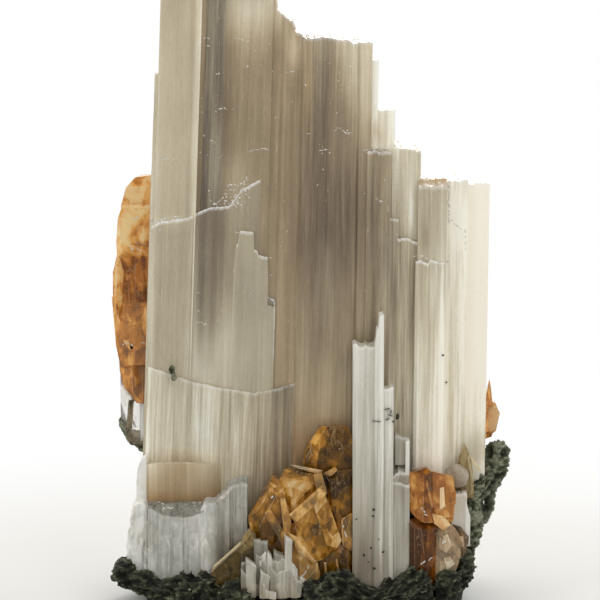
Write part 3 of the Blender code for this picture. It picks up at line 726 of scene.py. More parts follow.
# a cluster of white flakes at the high fracture: crushed fibres, and painted glints
flakes.cast(90, (-13.8, 64.2), (-9.8, 67.8), size=0.16)
flakes.row(((-1.6, 83.7), (-1.1, 83.2), (-1, 82.8)), size=0.3, jitter=0.1)
SCATTERED_FLAKES_AND_GLINTS = ((40, (-18.6, 62), (-14, 98)), (40, (-13.8, 62), (-3, 95)), (56, (0.6, 60), (6.2, 88)),
    (14, (-24.6, 60), (-20, 98)), (16, (-18, 45), (-3, 60)), (24, (8, 50), (16, 72)),)
for count, low, high in SCATTERED_FLAKES_AND_GLINTS:
    flakes.cast(count, low, high)
SCRATCHED = ((16, (-25.2, 40), (-20.6, 60)), (12, (-25.2, 64), (-20.6, 98)), (14, (-18.8, 24), (-9, 36)),
    (10, (-12.6, 46), (-7.6, 58)), (8, (-8, 60), (-3.6, 90)), (10, (16.6, 24), (23.6, 60)),)
for count, low, high in SCRATCHED:
    flakes.scratch(count, low, high)
slab_flakes = flakes.finish("slab_flakes", crushed_white_and_glints)
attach(slab_flakes, "root")

# ---------------------------------------------------------------------------------------------
# White prisms: milky ulexite whose fibres are too fine to see through. One tall prism with a
# needle stands in front of the slab, with a small broken prism and ledges in the gap beside it.
# ---------------------------------------------------------------------------------------------
WHITE_STOPS = (
    (0, (0.1, 0.09, 0.065)),
    (0.25, (0.215, 0.2, 0.155)),
    (0.5, (0.39, 0.365, 0.295)),
    (0.75, (0.57, 0.545, 0.46)),
    (1, (0.83, 0.81, 0.74)),
)
milky = satin_ulexite("milky_ulexite", WHITE_STOPS, (0.35, 0.05), rough=(0.32, 0.5))

# the mist at 8.6 across and 7 up makes the prism's foot darker and warmer: painted shade
prism = Bundles(((10.85, 32, 0.22, 14, 0.22, 0), (10.7, 13.5, 0.3, 5, 0.25, 0),
    (8.6, 7, 3, 5.5, -0.2, 0.18), (14.2, 12, 1.2, 5, -0.05, 0.06), (7, 40, 0.5, 8, 0.08, 0),
    (13.9, 21.5, 0.9, 1.6, -0.14, 0.16)), sway=0)
NOTCHED = ((6.2, 43.6), (6.6, 43.9), (7.1, 43.4), (7.6, 43.3), (8.2, 43.5), (8.8, 43.1), (9.5, 43.3),
    (9.9, 43.8))
NEEDLE = ((9.6, 43.4), (9.85, 44), (9.95, 45.6), (10.3, 45.9), (10.4, 47.8), (10.95, 48), (11.2, 47.6))
prism.add((6.3, 9.9, -14.8, -9.9), NOTCHED, cloud=((10, 0.62), (20, 0.7), (30, 0.82), (45, 0.82)),
    streak=(0.22, 0.22, 0.35), stain_and_shade=(3, 9, 26, 0.14), seed=60, depth=0.04, ragged=0.4, grain=0.16,
    warm=0.03)
prism.add((9.7, 11.1, -14.95, -10.4), NEEDLE, cloud=((20, 0.74), (30, 0.9), (45, 0.94)),
    streak=(0.25, 0.25, 0.4), seed=61, depth=0.06, ragged=0.15, grain=0.15)
prism.add((10.9, 12.6, -14.7, -10.6), (36.4, 36.6), cloud=((20, 0.72), (30, 0.84), (45, 0.86)),
    streak=(0.25, 0.25, 0.4), seed=62, depth=0.07, ragged=0.5, lip=0.9)
prism.add((12.3, 15.2, -13.9, -10), (21.9, 21.4), cloud=(0.74, 0.74, 0.66), streak=(0.3, 0.3, 0.4), seed=63,
    depth=0.08, ragged=0.5, lip=0.9)
prism.add((13, 14.8, -12.3, -10.1), (28.9, 28.5), foot=23.9, cloud=0.62, streak=0.2, seed=64, depth=0.05,
    ragged=0.3, lip=0.6, warm=0.06)
prism.add((14.6, 15.2, -12.9, -10.1), (27.8, 27.9), foot=16, cloud=1, seed=65, depth=0.05, ragged=0.3,
    lip=0.8, streak=0.2)
prism.add((12.2, 13.6, -13.4, -10.4), (23, 24), cloud=0.78, seed=66, depth=0.08, ragged=0.9, lip=1,
    slope=0.3, streak=0.3)
prism.add((13.4, 15.2, -13.2, -10.4), (23.2, 22.6), cloud=(0.6, 0.6, 0.66), warm=0.1, seed=67, depth=0.06,
    ragged=0.5, lip=1, slope=0.6, streak=0.2, roof=(0.7, 0.1))
ulexite_prism = prism.finish("ulexite_prism", milky)
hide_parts("ulexite_front_prism")
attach(ulexite_prism, "root")

# ---------------------------------------------------------------------------------------------
# Dark specks: grains of clay caught on the white prism as it grew, most of them near its foot.
# Each is an irregular dark crumb that is sealed in the prism's skin.
# ---------------------------------------------------------------------------------------------
SPECKS = ((9.6, 17.3, 0.26, 0.2, 0.4, -15), (9.5, 16.3, 0.24, 0.12, 0, -15), (9.2, 11.2, 0.18, 0.12, 0.6,
    -15), (8.1, 10.1, 0.26, 0.14, 1, -15), (11.1, 10.6, 0.24, 0.14, -0.4, -15), (9.7, 8, 0.26, 0.16, 0.2,
    -15), (13.4, 31.2, 0.28, 0.52, 0.1, -10.2), (6.9, 15.8, 0.12, 0.1, 0, -15), (20.5, 40.9, 0.2, 0.16, 0,
    -10), (21.2, 36.2, 0.14, 0.14, 0, -7.5), (10.4, 12.6, 0.1, 0.1, 0, -15), (8.8, 9, 0.1, 0.1, 0, -15),
    (12.6, 31.2, 0.16, 0.14, 0, -14.8), (10, 31.3, 0.75, 0.05, 0.05, -15), (11.7, 33.2, 0.5, 0.05, -0.1,
    -15), (12.1, 32.2, 0.45, 0.05, 0.3, -15), (11.7, 31.6, 0.4, 0.05, -0.2, -15), (12.2, 32.7, 0.06, 0.4,
    0.2, -15))
bm = bmesh.new()
for number, (x, z, wide, tall, turn, y) in enumerate(SPECKS):
    shape = Matrix.Translation((x * MM, (y + 0.08) * MM, z * MM)) @ Matrix.Rotation(turn, 4, "Y")
    grown = bmesh.ops.create_icosphere(bm, subdivisions=2, radius=1,
        matrix=shape @ Matrix.Diagonal((wide * MM, 0.3 * MM, tall * MM, 1)))
    for vert in grown["verts"]:
        across, up = scatter(number, vert.index) - 0.5, scatter(number + 9, vert.index) - 0.5
        vert.co += Vector((across, 0, up)) * 0.06 * MM
look = Shader("dark_clay_grain")
grit = look.noise(look.object_place(), scale=6000, detail=4)
look.paint(Base_Color=look.ramp(grit, ((0.3, (0.012, 0.013, 0.008)), (0.7, (0.05, 0.05, 0.032)))),
    Roughness=look.spread(grit, 0.3, 0.7, 0.55, 0.85))
look.bump(grit, 0.5, 0.0001)
clay_specks = stone_object("clay_specks", meshed(bm, "clay_specks"), look.material)
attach(clay_specks, "root")

# ---------------------------------------------------------------------------------------------
# Left foot: a shorter block of the same crystal in front of the slab. Its lower part is milky and
# frosted, a stained band shows above a sloping glassy break, and its left shoulder is clear.
# ---------------------------------------------------------------------------------------------
ICY_STOPS = (
    (0, (0.11, 0.11, 0.088)),
    (0.25, (0.26, 0.262, 0.225)),
    (0.5, (0.44, 0.44, 0.39)),
    (0.75, (0.61, 0.605, 0.55)),
    (1, (0.88, 0.875, 0.82)),
)
icy = satin_ulexite("icy_ulexite", ICY_STOPS, (0.6, 0.1), rough=(0.2, 0.5), frost=0.75)

foot_block = Bundles(((-25, 20, 1.8, 1.5, 0.06, 0.45), (-27.2, 20, 0.7, 4, 0.15, -0.1),
    (-28.3, 17.4, 0.9, 1.2, 0, 0.25), (-25.6, 12.5, 1.2, 1.6, -0.1, 0.16), (-18.2, 14.5, 1.4, 4, 0.14, 0),
    (-13.5, 10.5, 2.5, 3, -0.2, 0.25)), sway=0)
SHOULDER = ((-27.8, 19), (-27.6, 22.6), (-27.2, 23.7), (-26.7, 24.5), (-26, 25.1), (-25.2, 25.5))
foot_block.add((-27.7, -26.1, -9.6, -1), SHOULDER, warm=0.02, cloud=(0.9, 0.9, 0.94), streak=0.15, seed=70,
    depth=0.05, ragged=0.1, lip=0)
foot_block.add((-28.4, -25.4, -12.7, -2), ((-28.4, 16.6), (-27.8, 17.8), (-26.6, 18.2), (-25.4, 17.8)),
    cloud=0.94, streak=0.25, seed=72, depth=0.12, ragged=1, lip=0.3, broken=0.55, grain=0.2)
foot_block.add((-29.3, -27.2, -12, -2), ((-29.3, 11.8), (-28.8, 14.6), (-28, 15.6), (-27.2, 14.8)), cloud=1,
    streak=0.25, seed=73, depth=0.12, ragged=1.2, lip=0.3, broken=0.6, grain=0.2)
foot_block.add((-26.2, -23.8, -13.4, -6), ((-26.2, 14.8), (-25.2, 16.4), (-23.8, 16.8)), cloud=0.76,
    streak=0.3, seed=74, depth=0.14, ragged=0.9, lip=0.4, broken=0.5, grain=0.2)
LENS = ((-24.9, 17.4), (-24.3, 16.9), (-23.4, 16.4), (-21.4, 16.2), (-19.9, 16), (-18.3, 16.3), (-16.8, 17))
foot_block.add((-25.7, -16.8, -14, -8.5), LENS, cloud=(0.72, 0.72, 0.7), streak=0.42, slope=0.62,
    ceiling=17.6, roof=(0.36, 0.1), seed=75, depth=0.06, ragged=0.1, lip=0.15)
foot_block.add((-17.4, -14.8, -14.1, -8.5), ((-17.4, 17.2), (-17, 18), (-16.2, 18.4), (-15, 18.3),
    (-14.8, 17.6)), cloud=(0.84, 0.84, 0.72), streak=(0.25, 0.25, 0.3), seed=77, depth=0.06, ragged=0.15,
    lip=0.3, hollow=((-17.4, 0.5), (-16.8, 0), (-15.2, 0), (-14.8, 0.4)))
foot_block.add((-15, -13, -12.9, -8.6), (18.6, 20.2), cloud=(0.84, 0.84, 0.66), streak=0.35, seed=78,
    warm=0.1, depth=0.08, ragged=0.5, lip=0.6, broken=0.06)
foot_block.add((-13.2, -10.2, -12.2, -8.6), ((-13.2, 20.4), (-12.2, 20.8), (-10.2, 21)), slope=0.2,
    cloud=(0.8, 0.8, 0.6), warm=0.08, streak=0.35, roof=(0.5, 0), seed=79, depth=0.08, ragged=0.3, lip=0.5,
    broken=0.06, stain_and_shade=(4, 9, 15, 0.2))
ulexite_foot_block = foot_block.finish("ulexite_foot_block", icy)
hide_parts("ulexite_left_block")
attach(ulexite_foot_block, "root")
flakes = Flakes((ulexite_foot_block,), 11)
# white flakes along the lens rim: crushed fibres, and painted glints on the lens
LENS_RIM_AND_GLINTS = (((-24.6, 17.6), (-22.6, 17.7), (-19.6, 17.7), (-17.4, 17.5)), ((-14.2, 18.5), (-13.8, 19),
    (-13.2, 20.3)), ((-23.6, 17), (-22.4, 17.1), (-21.4, 16.9)), ((-28.7, 15.6), (-28, 14.2)),
    ((-26.6, 11.4), (-25.6, 10.6), (-24.9, 9.6)),)
for points in LENS_RIM_AND_GLINTS:
    flakes.row(points, size=0.22, jitter=0.1)
flakes.row(((-14.3, 18.4), (-14, 18.9)), size=0.5, jitter=0.1)
foot_flakes = flakes.finish("foot_flakes", crushed_white_and_glints)
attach(foot_flakes, "root")

# ---------------------------------------------------------------------------------------------
# Small cluster: short white prisms and one needle at the front foot, grown side by side. They are
# milky ulexite with broken tops, seated in the clay in front of the slab.
# ---------------------------------------------------------------------------------------------
cluster = Bundles(sway=0, grain=0.16)
SHORT_PRISMS = ((-11, -2.6, 9.6, 8.4, -16.6, 0.42), (-11, -9.6, 8.6, 7, -17.2, 0.58),
    (-10.3, -8.8, 10.6, 9.4, -17.9, 0.7), (-9.1, -6.9, 13.1, 12.7, -16.2, 0.36), (-8.9, -7.4, 11.4, 10.2,
    -17.2, 0.5), (-8.1, -6.6, 9, 7.6, -18.4, 0.66), (-6.9, -6.2, 11.2, 10.3, -17.8, 0.8),
    (-6.5, -5.4, 9.6, 8, -18.5, 0.58), (-5.9, -4.5, 11.4, 10.8, -17, 0.52), (-5.5, -4, 8, 9, -18.4, 0.7),
    (-4.2, -3.2, 13.9, 13.2, -18, 0.8), (-3.3, -2.4, 8.6, 7, -18.2, 0.56))
for number, (left, right, low, high, front, milk) in enumerate(SHORT_PRISMS):
    cluster.add((left, right, front, -14.8), (low, high), cloud=milk, streak=0.45, roof=(milk + 0.1, 0),
        seed=80 + number, depth=0.1, ragged=0.5, lip=0.35, stain_and_shade=(2, 4, 8, 0.3), broken=0.26)
CRUMBLED_PRISMS = ((-3.3, -1.6, 8.6, -17.6), (-2, -0.4, 8.2, -17), (-11.4, -9.8, 6.2, -17.9),
    (-7.6, -5.6, 6.6, -18.9),)
for left, right, high, front in CRUMBLED_PRISMS:
    cluster.add((left, right, front, -14.8), (high, high - 1.2), cloud=0.74, streak=0.4, seed=95 + left,
        depth=0.15, ragged=1.2, lip=0.3, stain_and_shade=(2, 4, 6, 0.3), broken=0.45)
cluster.add((-9.8, -2.2, -16.9, -14.8), ((-9.8, 8), (-8.2, 10.4), (-7.4, 11.4), (-6, 10.6), (-4.8, 11),
    (-2.2, 9)), cloud=0.8, streak=0.4, seed=99, depth=0.15, ragged=0.8, lip=0.4, stain_and_shade=(2, 4, 8, 0.3),
    broken=0.3)
ulexite_cluster = cluster.finish("ulexite_cluster", milky)
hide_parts("small_ulexite_cluster")
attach(ulexite_cluster, "root")

# ---------------------------------------------------------------------------------------------
# Right foot block: a smooth white prism beside the clay, with a clear rim down its right edge. It
# is milky ulexite, seated in the clay between the slab and the horn.
# ---------------------------------------------------------------------------------------------
right_foot = Bundles(sway=0)
right_foot.add((21.9, 24.3, -12.3, -8.1), (19.3, 19.5), foot=11, cloud=(0.88, 0.86, 0.84), streak=0.12,
    seed=90, depth=0.04, ragged=0.3, lip=0.7, warm=0.05)
right_foot.add((24.1, 24.8, -12.3, -8.1), (18.6, 16.4), foot=11, cloud=1, streak=0.1, seed=91, depth=0.04,
    ragged=0.5, lip=0.7, warm=-0.1)
ulexite_right_foot = right_foot.finish("ulexite_right_foot", milky)
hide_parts("ulexite_right_block")
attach(ulexite_right_foot, "root")

# ---------------------------------------------------------------------------------------------
# Left honey crystal: stands behind the slab's left edge, in clear honey-coloured calcite. It is
# pale at its top, orange and then red-brown below, with white healed cracks sealed inside it. The
# pale top is partly painted light: the glow of light shining through it from behind.
# ---------------------------------------------------------------------------------------------
class Crystals:
    """Gathers cleaved crystals: blocks cut back to an outline, with worn edges and small ledges."""

    def __init__(self):
        self.bm = bmesh.new()
        self.points = {"tone": [], "milk": [], "clear": []}
        self.sides = {"facet": [], "rim": []}

    def add(self, outline, front, back, tone=0.5, milk=0, clear=0.4, cuts=(), chamfer=0.6, wide=1, ledges=4,
            wear=0.07, step=0.14, glint=0, seed=1):
        luck = np.random.default_rng(int(seed * 10))
        across = [point[0] for point in outline]
        up = [point[1] for point in outline]
        middle = Vector((sum(across) / len(across), (front + back) / 2, sum(up) / len(up)))
        half = Vector((max(across) - min(across), (back - front) / 2, max(up) - min(up)))
        planes = []
        for (x, z), (next_x, next_z) in zip(outline, outline[1:] + outline[:1]):
            edge = Vector((x, middle.y, z)) - middle
            way = Vector((next_z - z, 0, x - next_x)).normalized()
            if way.dot(edge) < 0:
                way.negate()
            side = (way + Vector((0, 0.12 * luck.random(), 0))).normalized()
            planes.append((side, side.dot(edge), luck.random()))
            if luck.random() < chamfer:
                bevel_at = edge + Vector((0, front - middle.y + wide * (0.3 + luck.random()), 0))
                slope = (way + Vector((0, -0.5 - 1.4 * luck.random(), 0))).normalized()
                planes.append((slope, slope.dot(bevel_at), luck.random()))
            back_at = edge + Vector((0, back - middle.y - 0.3 * (back - front) * luck.random(), 0))
            slope = (way + Vector((0, 0.6 + luck.random(), 0))).normalized()
            planes.append((slope, slope.dot(back_at), luck.random()))
        for way, reach, shade in cuts:
            planes.append((Vector(way).normalized(), reach, shade))
        bm = bmesh.new()
        facet = bm.faces.layers.float.new("facet")
        rim = bm.faces.layers.float.new("rim")
        bmesh.ops.create_cube(bm, size=2)
        bmesh.ops.scale(bm, vec=half, verts=bm.verts)
        for face in bm.faces:
            face[facet] = luck.random()
        for way, reach, shade in planes:
            everything = bm.verts[:] + bm.edges[:] + bm.faces[:]
            cut = bmesh.ops.bisect_plane(
                bm, geom=everything, plane_co=way * reach, plane_no=way, clear_outer=True)
            edges = [item for item in cut["geom_cut"] if isinstance(item, bmesh.types.BMEdge)]
            for face in bmesh.ops.holes_fill(bm, edges=edges)["faces"]:
                face[facet] = shade
        for _ in range(ledges):
            widest = sorted(bm.faces, key=lambda face: -face.calc_area())[:5]
            face = widest[int(luck.integers(len(widest)))]
            along = (face.verts[0].co - face.verts[int(luck.integers(1, len(face.verts)))].co).normalized()
            away = face.normal.cross(along)
            shift = float(luck.normal(0, 0.15) * math.sqrt(face.calc_area()))
            split = bmesh.ops.bisect_plane(bm, geom=[face, *face.edges, *face.verts], plane_no=away,
                                           plane_co=face.calc_center_median() + away * shift)
            parts = [item for item in split["geom"] if isinstance(item, bmesh.types.BMFace)]
            shade = float(np.clip(parts[0][facet] + luck.normal(0, 0.22), 0, 1))
            for top in bmesh.ops.extrude_discrete_faces(bm, faces=parts[:1])["faces"]:
                bmesh.ops.translate(bm, vec=top.normal * step * float(0.4 + luck.random()), verts=top.verts)
                top[facet] = shade
        bmesh.ops.recalc_face_normals(bm, faces=bm.faces)
        worn = bmesh.ops.bevel(bm, geom=bm.edges[:], offset=wear, segments=1, profile=0.5, affect="EDGES",
                               clamp_overlap=True, material=-1)
        # each worn bevel face gets a rim value, which the material paints as a bright highlight
        for face in worn["faces"]:
            face[rim] = glint + (1 - glint) * float(luck.random() ** 1.5)
            face[facet] = 0.5
        bmesh.ops.translate(bm, vec=middle, verts=bm.verts)
        heights = np.array([vert.co.z for vert in bm.verts])
        for title, value in (("tone", tone), ("milk", milk), ("clear", clear)):
            varied = isinstance(value, tuple)
            self.points[title].append(along_profile(heights, value) if varied else heights * 0 + value)
        for title, layer in (("facet", facet), ("rim", rim)):
            self.sides[title].append(np.array([face[layer] for face in bm.faces]))
        bmesh.ops.scale(bm, vec=(MM, MM, MM), verts=bm.verts)
        mesh = meshed(bm, "crystal")
        for title in ("facet", "rim"):
            mesh.attributes.remove(mesh.attributes[title])
        self.bm.from_mesh(mesh)
        bpy.data.meshes.remove(mesh)

    def finish(self, name, material):
        mesh = meshed(self.bm, name)
        written_layers(mesh, self.points)
        written_layers(mesh, self.sides, "FACE")
        return stone_object(name, mesh, material)


def clear_crystal(name, stops, veins=0.6, rough=(0.03, 0.16), pale=(0.85, 0.74, 0.56),
                  painted_highlight=(0.97, 0.88, 0.7), faceted=0.3, inner=0.34):
    """Clear coloured crystal, whose cleavages and healed cracks show as pale sheets and lines; its worn
    edges are painted bright as highlights and tiny pale dots as glints.
    """
    look = Shader(name)
    where = look.object_place()
    cloud = look.place(where, (300, 300, 200), turn=(0.4, 0.3, 0))
    cloud = look.noise(cloud, detail=4, rough=0.6, twist=0.8)
    wisp = look.noise(look.place(where, (1100, 1100, 500), turn=(0.2, -0.5, 0.3)), detail=3, twist=1.5)
    crack = look.place(where, (330, 330, 210), turn=(0.5, 0.35, 0.2))
    crack = look.cells(crack, feature="DISTANCE_TO_EDGE")
    block = look.cell_value(look.place(where, (420, 420, 260), turn=(0.2, 0.6, 0.4)))
    shard = look.cell_value(look.place(where, (1150, 1150, 800), turn=(0.5, 0.3, 0.9)))
    glint_speckle = look.noise(look.place(where, (3600, 3600, 2600)), detail=2)
    line = look.math("MULTIPLY", look.spread(crack, 0.03, 0), look.spread(wisp, 0.52, 0.66))
    sheet = look.math("MULTIPLY", look.spread(wisp, 0.52, 0.72), look.spread(cloud, 0.46, 0.64))
    veil = look.math("MULTIPLY", look.math("MAXIMUM", look.math("MULTIPLY", line, 0.6), sheet), veins)
    # painted glints: tiny pale dots where the cloud is clearer, standing in for sparkle
    painted_glints = look.math("MULTIPLY", look.spread(glint_speckle, 0.66, 0.72), look.spread(cloud, 0.46, 0.62, 0, 0.7))
    veil = look.math("MAXIMUM", veil, painted_glints)
    veil = look.math("MAXIMUM", veil, look.attribute("milk"), clamp=True)
    depth = look.swing(cloud, 1.5, look.attribute("tone"))
    depth = look.swing(block, inner, depth)
    depth = look.swing(shard, 0.8 * inner, depth)
    depth = look.swing(look.attribute("facet"), faceted, depth, clamp=True)
    inside = look.mix(veil, look.ramp(depth, stops), pale)
    # painted highlight: worn bevel faces are mixed towards a bright colour by their rim value
    edge = look.spread(look.attribute("rim"), 0.35, 1, 0, 0.9)
    edge = look.math("MULTIPLY", edge, look.spread(wisp, 0.3, 0.55, 0.3, 1))
    through = look.math("MULTIPLY", look.attribute("clear"), look.spread(veil, 0, 0.9, 1, 0.2))
    look.paint(Base_Color=look.mix(edge, inside, painted_highlight), Transmission_Weight=through,
               Roughness=look.spread(wisp, 0.3, 0.7, *rough), IOR=1.55, Specular_IOR_Level=0.12)
    look.bump(look.math("MULTIPLY_ADD", line, 0.5, wisp), 0.2, 0.0001)
    return look.material


HONEY_STOPS = (
    (0, (0.96, 0.73, 0.4)),
    (0.2, (0.83, 0.46, 0.11)),
    (0.42, (0.46, 0.2, 0.018)),
    (0.68, (0.165, 0.074, 0.006)),
    (1, (0.055, 0.024, 0.003)),
)
FIERY_STOPS = (
    (0, (1, 0.74, 0.36)),
    (0.2, (0.94, 0.48, 0.12)),
    (0.42, (0.57, 0.2, 0.024)),
    (0.68, (0.24, 0.075, 0.008)),
    (1, (0.08, 0.026, 0.004)),
)
honey = clear_crystal("honey_calcite", HONEY_STOPS, veins=0.34, pale=(0.92, 0.67, 0.33),
                      painted_highlight=(0.96, 0.83, 0.6))
fiery = clear_crystal("orange_calcite", FIERY_STOPS, veins=0.26, pale=(0.95, 0.72, 0.42),
                      painted_highlight=(0.98, 0.82, 0.54), inner=0.26)

left_honey = Crystals()
left_honey.add([(-29.2, 64), (-31, 57), (-31, 42), (-29, 33.4), (-23, 33.4), (-23, 64)], 4.4, 12,
    tone=((36, 0.6), (50, 0.45), (60, 0.2)), clear=0.2, seed=2, ledges=2)
# pale top tones: partly painted light, the glow of light shining through the top from behind
left_honey.add([(-26, 68), (-28.1, 67.7), (-29.4, 66.2), (-30.3, 62.9), (-30.3, 60.8), (-23, 60.8),
    (-23, 68)], 3, 12, tone=((60, 0.12), (64, 0.03), (68, 0)), clear=0.3, seed=3, ledges=7)
left_honey.add([(-29.9, 63.4), (-30.9, 60.6), (-31.2, 57.6), (-31, 54.8), (-23, 54.8), (-23, 63.4)], 2.2,
    12.4, tone=((54, 0.24), (58, 0.12), (63, 0.07)), clear=0.25, seed=4, ledges=8)
left_honey.add([(-30.2, 57.9), (-31.3, 55.2), (-32, 52), (-32.1, 46.6), (-31.4, 43), (-23, 43),
    (-23, 57.9)], 2.6, 12.6, tone=((43, 0.34), (46, 0.44), (53, 0.35), (57, 0.2)), clear=0.2, seed=5,
    ledges=9)
left_honey.add([(-32.1, 48.4), (-31.5, 40.6), (-30.8, 37.2), (-23, 37.2), (-23, 48.4)], 2, 12.2,
    tone=((37, 0.62), (40, 0.46), (44, 0.44), (48, 0.46)), milk=0.1, clear=0.2, seed=6, ledges=8)
left_honey.add([(-31.2, 40.9), (-31, 36.2), (-30.3, 33.6), (-28.7, 31.6), (-23, 31.6), (-23, 40.9)], 2.8,
    11.6, tone=((31, 0.58), (36, 0.68), (40, 0.52)), milk=0.1, clear=0.2, seed=7, ledges=8)
PATCHES = (((-31.5, 53.9), (-30.9, 55.2), (-30.3, 52.9), (-30.5, 48), (-31.2, 45.8), (-31.7, 48.8), 0.26,
    0.04), ((-30.2, 56.6), (-27.9, 57.4), (-25, 56.4), (-26.2, 55.9), 0.3, 0.12), ((-29.9, 50.2),
    (-29.5, 50.6), (-29, 46.2), (-29.5, 45.4), 0.4, 0.1), ((-27.4, 53), (-27, 53.2), (-26.6, 48.8),
    (-27.1, 48.4), 0.46, 0.08), ((-30.4, 41.6), (-29.2, 42), (-28, 40.6), (-29.4, 40.2), 0.3, 0.18),
    ((-28.9, 37.6), (-28.4, 38), (-27.8, 34.4), (-28.3, 34), 0.4, 0.1))
for number, (*outline, tone, milk) in enumerate(PATCHES):
    left_honey.add(outline, 1.7 + 0.3 * (number % 3), 4.4, tone=tone, milk=milk, clear=0.3, wear=0.14,
        wide=0.5, glint=0.3, seed=40 + number, ledges=1)
left_honey_crystal = left_honey.finish("left_honey_crystal", fiery)
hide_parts("amber_left_crystal")
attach(left_honey_crystal, "root")

# ---------------------------------------------------------------------------------------------
# Centre honey cluster: several cleaved crystals that grew through each other at the foot of the
# slab. Thin pale plates stand between them, and the one at the back is olive brown.
# ---------------------------------------------------------------------------------------------
centre = Crystals()
centre.add([(-8, 15), (-3, 20), (5.4, 19), (5.8, 4.6), (-7, 4.6)], -12.6, -9, tone=0.66, seed=10, ledges=2,
    clear=0.1)
centre.add([(-1.1, 25.7), (0, 27.9), (1.2, 29.7), (5.5, 29.8), (6.3, 27.6), (6.3, 18.1), (2, 17.3),
    (-1.4, 21.6)], -11.6, -8.3, tone=((17, 0.56), (22, 0.72), (28, 0.6)), seed=11, ledges=5, clear=0.1)
centre.add([(2.2, 22.6), (6.4, 23.2), (6.4, 8.9), (5.2, 8.6), (3, 15.3)], -13.4, -8.8,
    tone=((10, 0.62), (17, 0.62), (22, 0.74)), seed=12, ledges=5, clear=0.15)
centre.add([(-6.1, 22.1), (-3.3, 20.2), (-2.8, 15.5), (-5.3, 10.7), (-8.9, 11.5), (-9.9, 16)], -14.6, -9,
    tone=((11, 0.5), (16, 0.4), (21, 0.52)), seed=13, ledges=5, clear=0.3, wide=1.6, chamfer=0.9)
centre.add([(-4.2, 23.4), (0.9, 22.5), (1.5, 19.9), (-3, 15.5), (-5, 17.5), (-5.6, 20.6)], -14.8, -9.4,
    tone=0.54, seed=14, ledges=7, clear=0.35, wide=1.4, chamfer=0.9)
centre.add([(-2.5, 16), (2, 19.6), (4.5, 12.3), (2.6, 10.1), (-0.3, 8.7), (-1.9, 11.5)], -16.4, -10.4,
    tone=((8, 0.48), (13, 0.38), (19, 0.46)), seed=15, ledges=3, clear=0.3, wide=0.8, step=0.08,
    cuts=(((0.62, -0.75, 0.2), 3, -0.3),))
centre.add([(-9.3, 12.6), (-5, 14.7), (-2.2, 11.5), (-1.3, 7.5), (-3.2, 3.7), (-7.9, 3.7)], -14, -9.6,
    tone=0.66, seed=16, ledges=7, clear=0.3)
centre.add([(-3.1, 13.1), (0.6, 9.7), (1.2, 7), (0.6, 3.7), (-3.5, 3.7)], -15.6, -10.5,
    tone=((4, 0.62), (9, 0.34)), milk=0.22, seed=17, ledges=8, clear=0.3, wide=1.2)
centre.add([(0.3, 8.9), (4.5, 11.6), (6.2, 10.5), (6.2, 3.7), (0.3, 3.7)], -14.6, -9.6,
    tone=((4, 0.85), (9, 0.66)), seed=18, ledges=8, clear=0.3)
centre.add([(-5.2, 14.4), (-2, 15.2), (-1.4, 11.4), (-4.4, 10.2)], -14.7, -10.5, tone=0.48, seed=20,
    ledges=2, clear=0.2)
centre.add([(4.8, 15.5), (6.1, 16.3), (6.1, 10.7), (5, 11.4)], -14.2, -11, tone=0.52, milk=0.1, seed=19,
    ledges=6, clear=0.3, wide=0.6)
PLATES = (((-3.5, 16.7), (1.5, 21.3), (2.1, 20.3), (-2.7, 15.7), -16.75, 0.46, 0.16),
    ((0.3, 22.8), (1.4, 23.1), (2.1, 20.6), (1.4, 19.6), (0.7, 20.4), -15.4, 0.44, 0.18),
    ((-7.3, 16.9), (-6.6, 17.4), (-3.6, 12.4), (-4.4, 11.6), -15.2, 0.46, 0.1), ((-4.9, 19), (-4.2, 19.1),
    (-3.3, 15.8), (-3.8, 11.8), (-4.4, 14.2), -15.4, 0.44, 0.16), ((-3.5, 13.6), (-2.4, 13), (0.9, 9.6),
    (0.3, 9), (-1.9, 10.7), -16.3, 0.3, 0.3), ((-4.5, 24.5), (-3.1, 24), (1.5, 23.1), (0.9, 22.7),
    (-2.5, 23.2), -13.6, 0.46, 0.24), ((1.5, 22.5), (3.6, 23.7), (3.9, 23.3), (2.5, 22.1), -13.4, 0.5, 0.2),
    ((-0.9, 26), (-0.2, 27.2), (0.3, 25.2), (-0.6, 23.8), -12.2, 0.75, 0), ((1.9, 9), (2.3, 9), (2.5, 5.2),
    (2.1, 5), -14.9, 0.2, 0.15), ((3.6, 9.4), (3.9, 9.4), (4.2, 6), (3.8, 5.8), -14.9, 0.3, 0.1))
for number, (*outline, front, tone, milk) in enumerate(PLATES):
    centre.add(outline, front, -12 if front < -13 else -10, tone=tone, milk=milk, clear=0.3, wear=0.15,
        wide=0.3, glint=0.7, seed=100 + number, ledges=1, step=0.06)
centre_honey_cluster = centre.finish("centre_honey_cluster", honey)
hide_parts("amber_centre_cluster")
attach(centre_honey_cluster, "root")

# ---------------------------------------------------------------------------------------------
# Right honey crystals: an orange upper one with clear streaks and a banded red-brown lower one,
# broken off level with each other, and a clearer brownish mass between them and the clay.
# ---------------------------------------------------------------------------------------------
right = Crystals()
right.add([(15.5, 22.8), (17.9, 23.6), (19.3, 22.3), (19.5, 15.3), (16.8, 15.2), (15.4, 16.9)], -14.8, -9.6,
    tone=((15, 0.46), (19, 0.42), (23, 0.5)), seed=21, ledges=5, clear=0.35, wide=1.2)
right.add([(17.9, 23.2), (21.8, 22.2), (22.1, 20.3), (21.8, 15.2), (19, 14.9)], -14.4, -9.6,
    tone=((15, 0.36), (19, 0.44), (23, 0.38)), milk=0.04, seed=22, ledges=6, clear=0.4, wide=1.2)
right.add([(15.3, 15.4), (16.8, 15.8), (19.5, 15.5), (19.5, 3.7), (15.5, 3.7)], -14.7, -9.4,
    tone=((5, 0.92), (9, 0.8), (11, 0.72), (14, 0.88)), seed=23, ledges=3, clear=0.3, wide=1.4)
murk = Crystals()
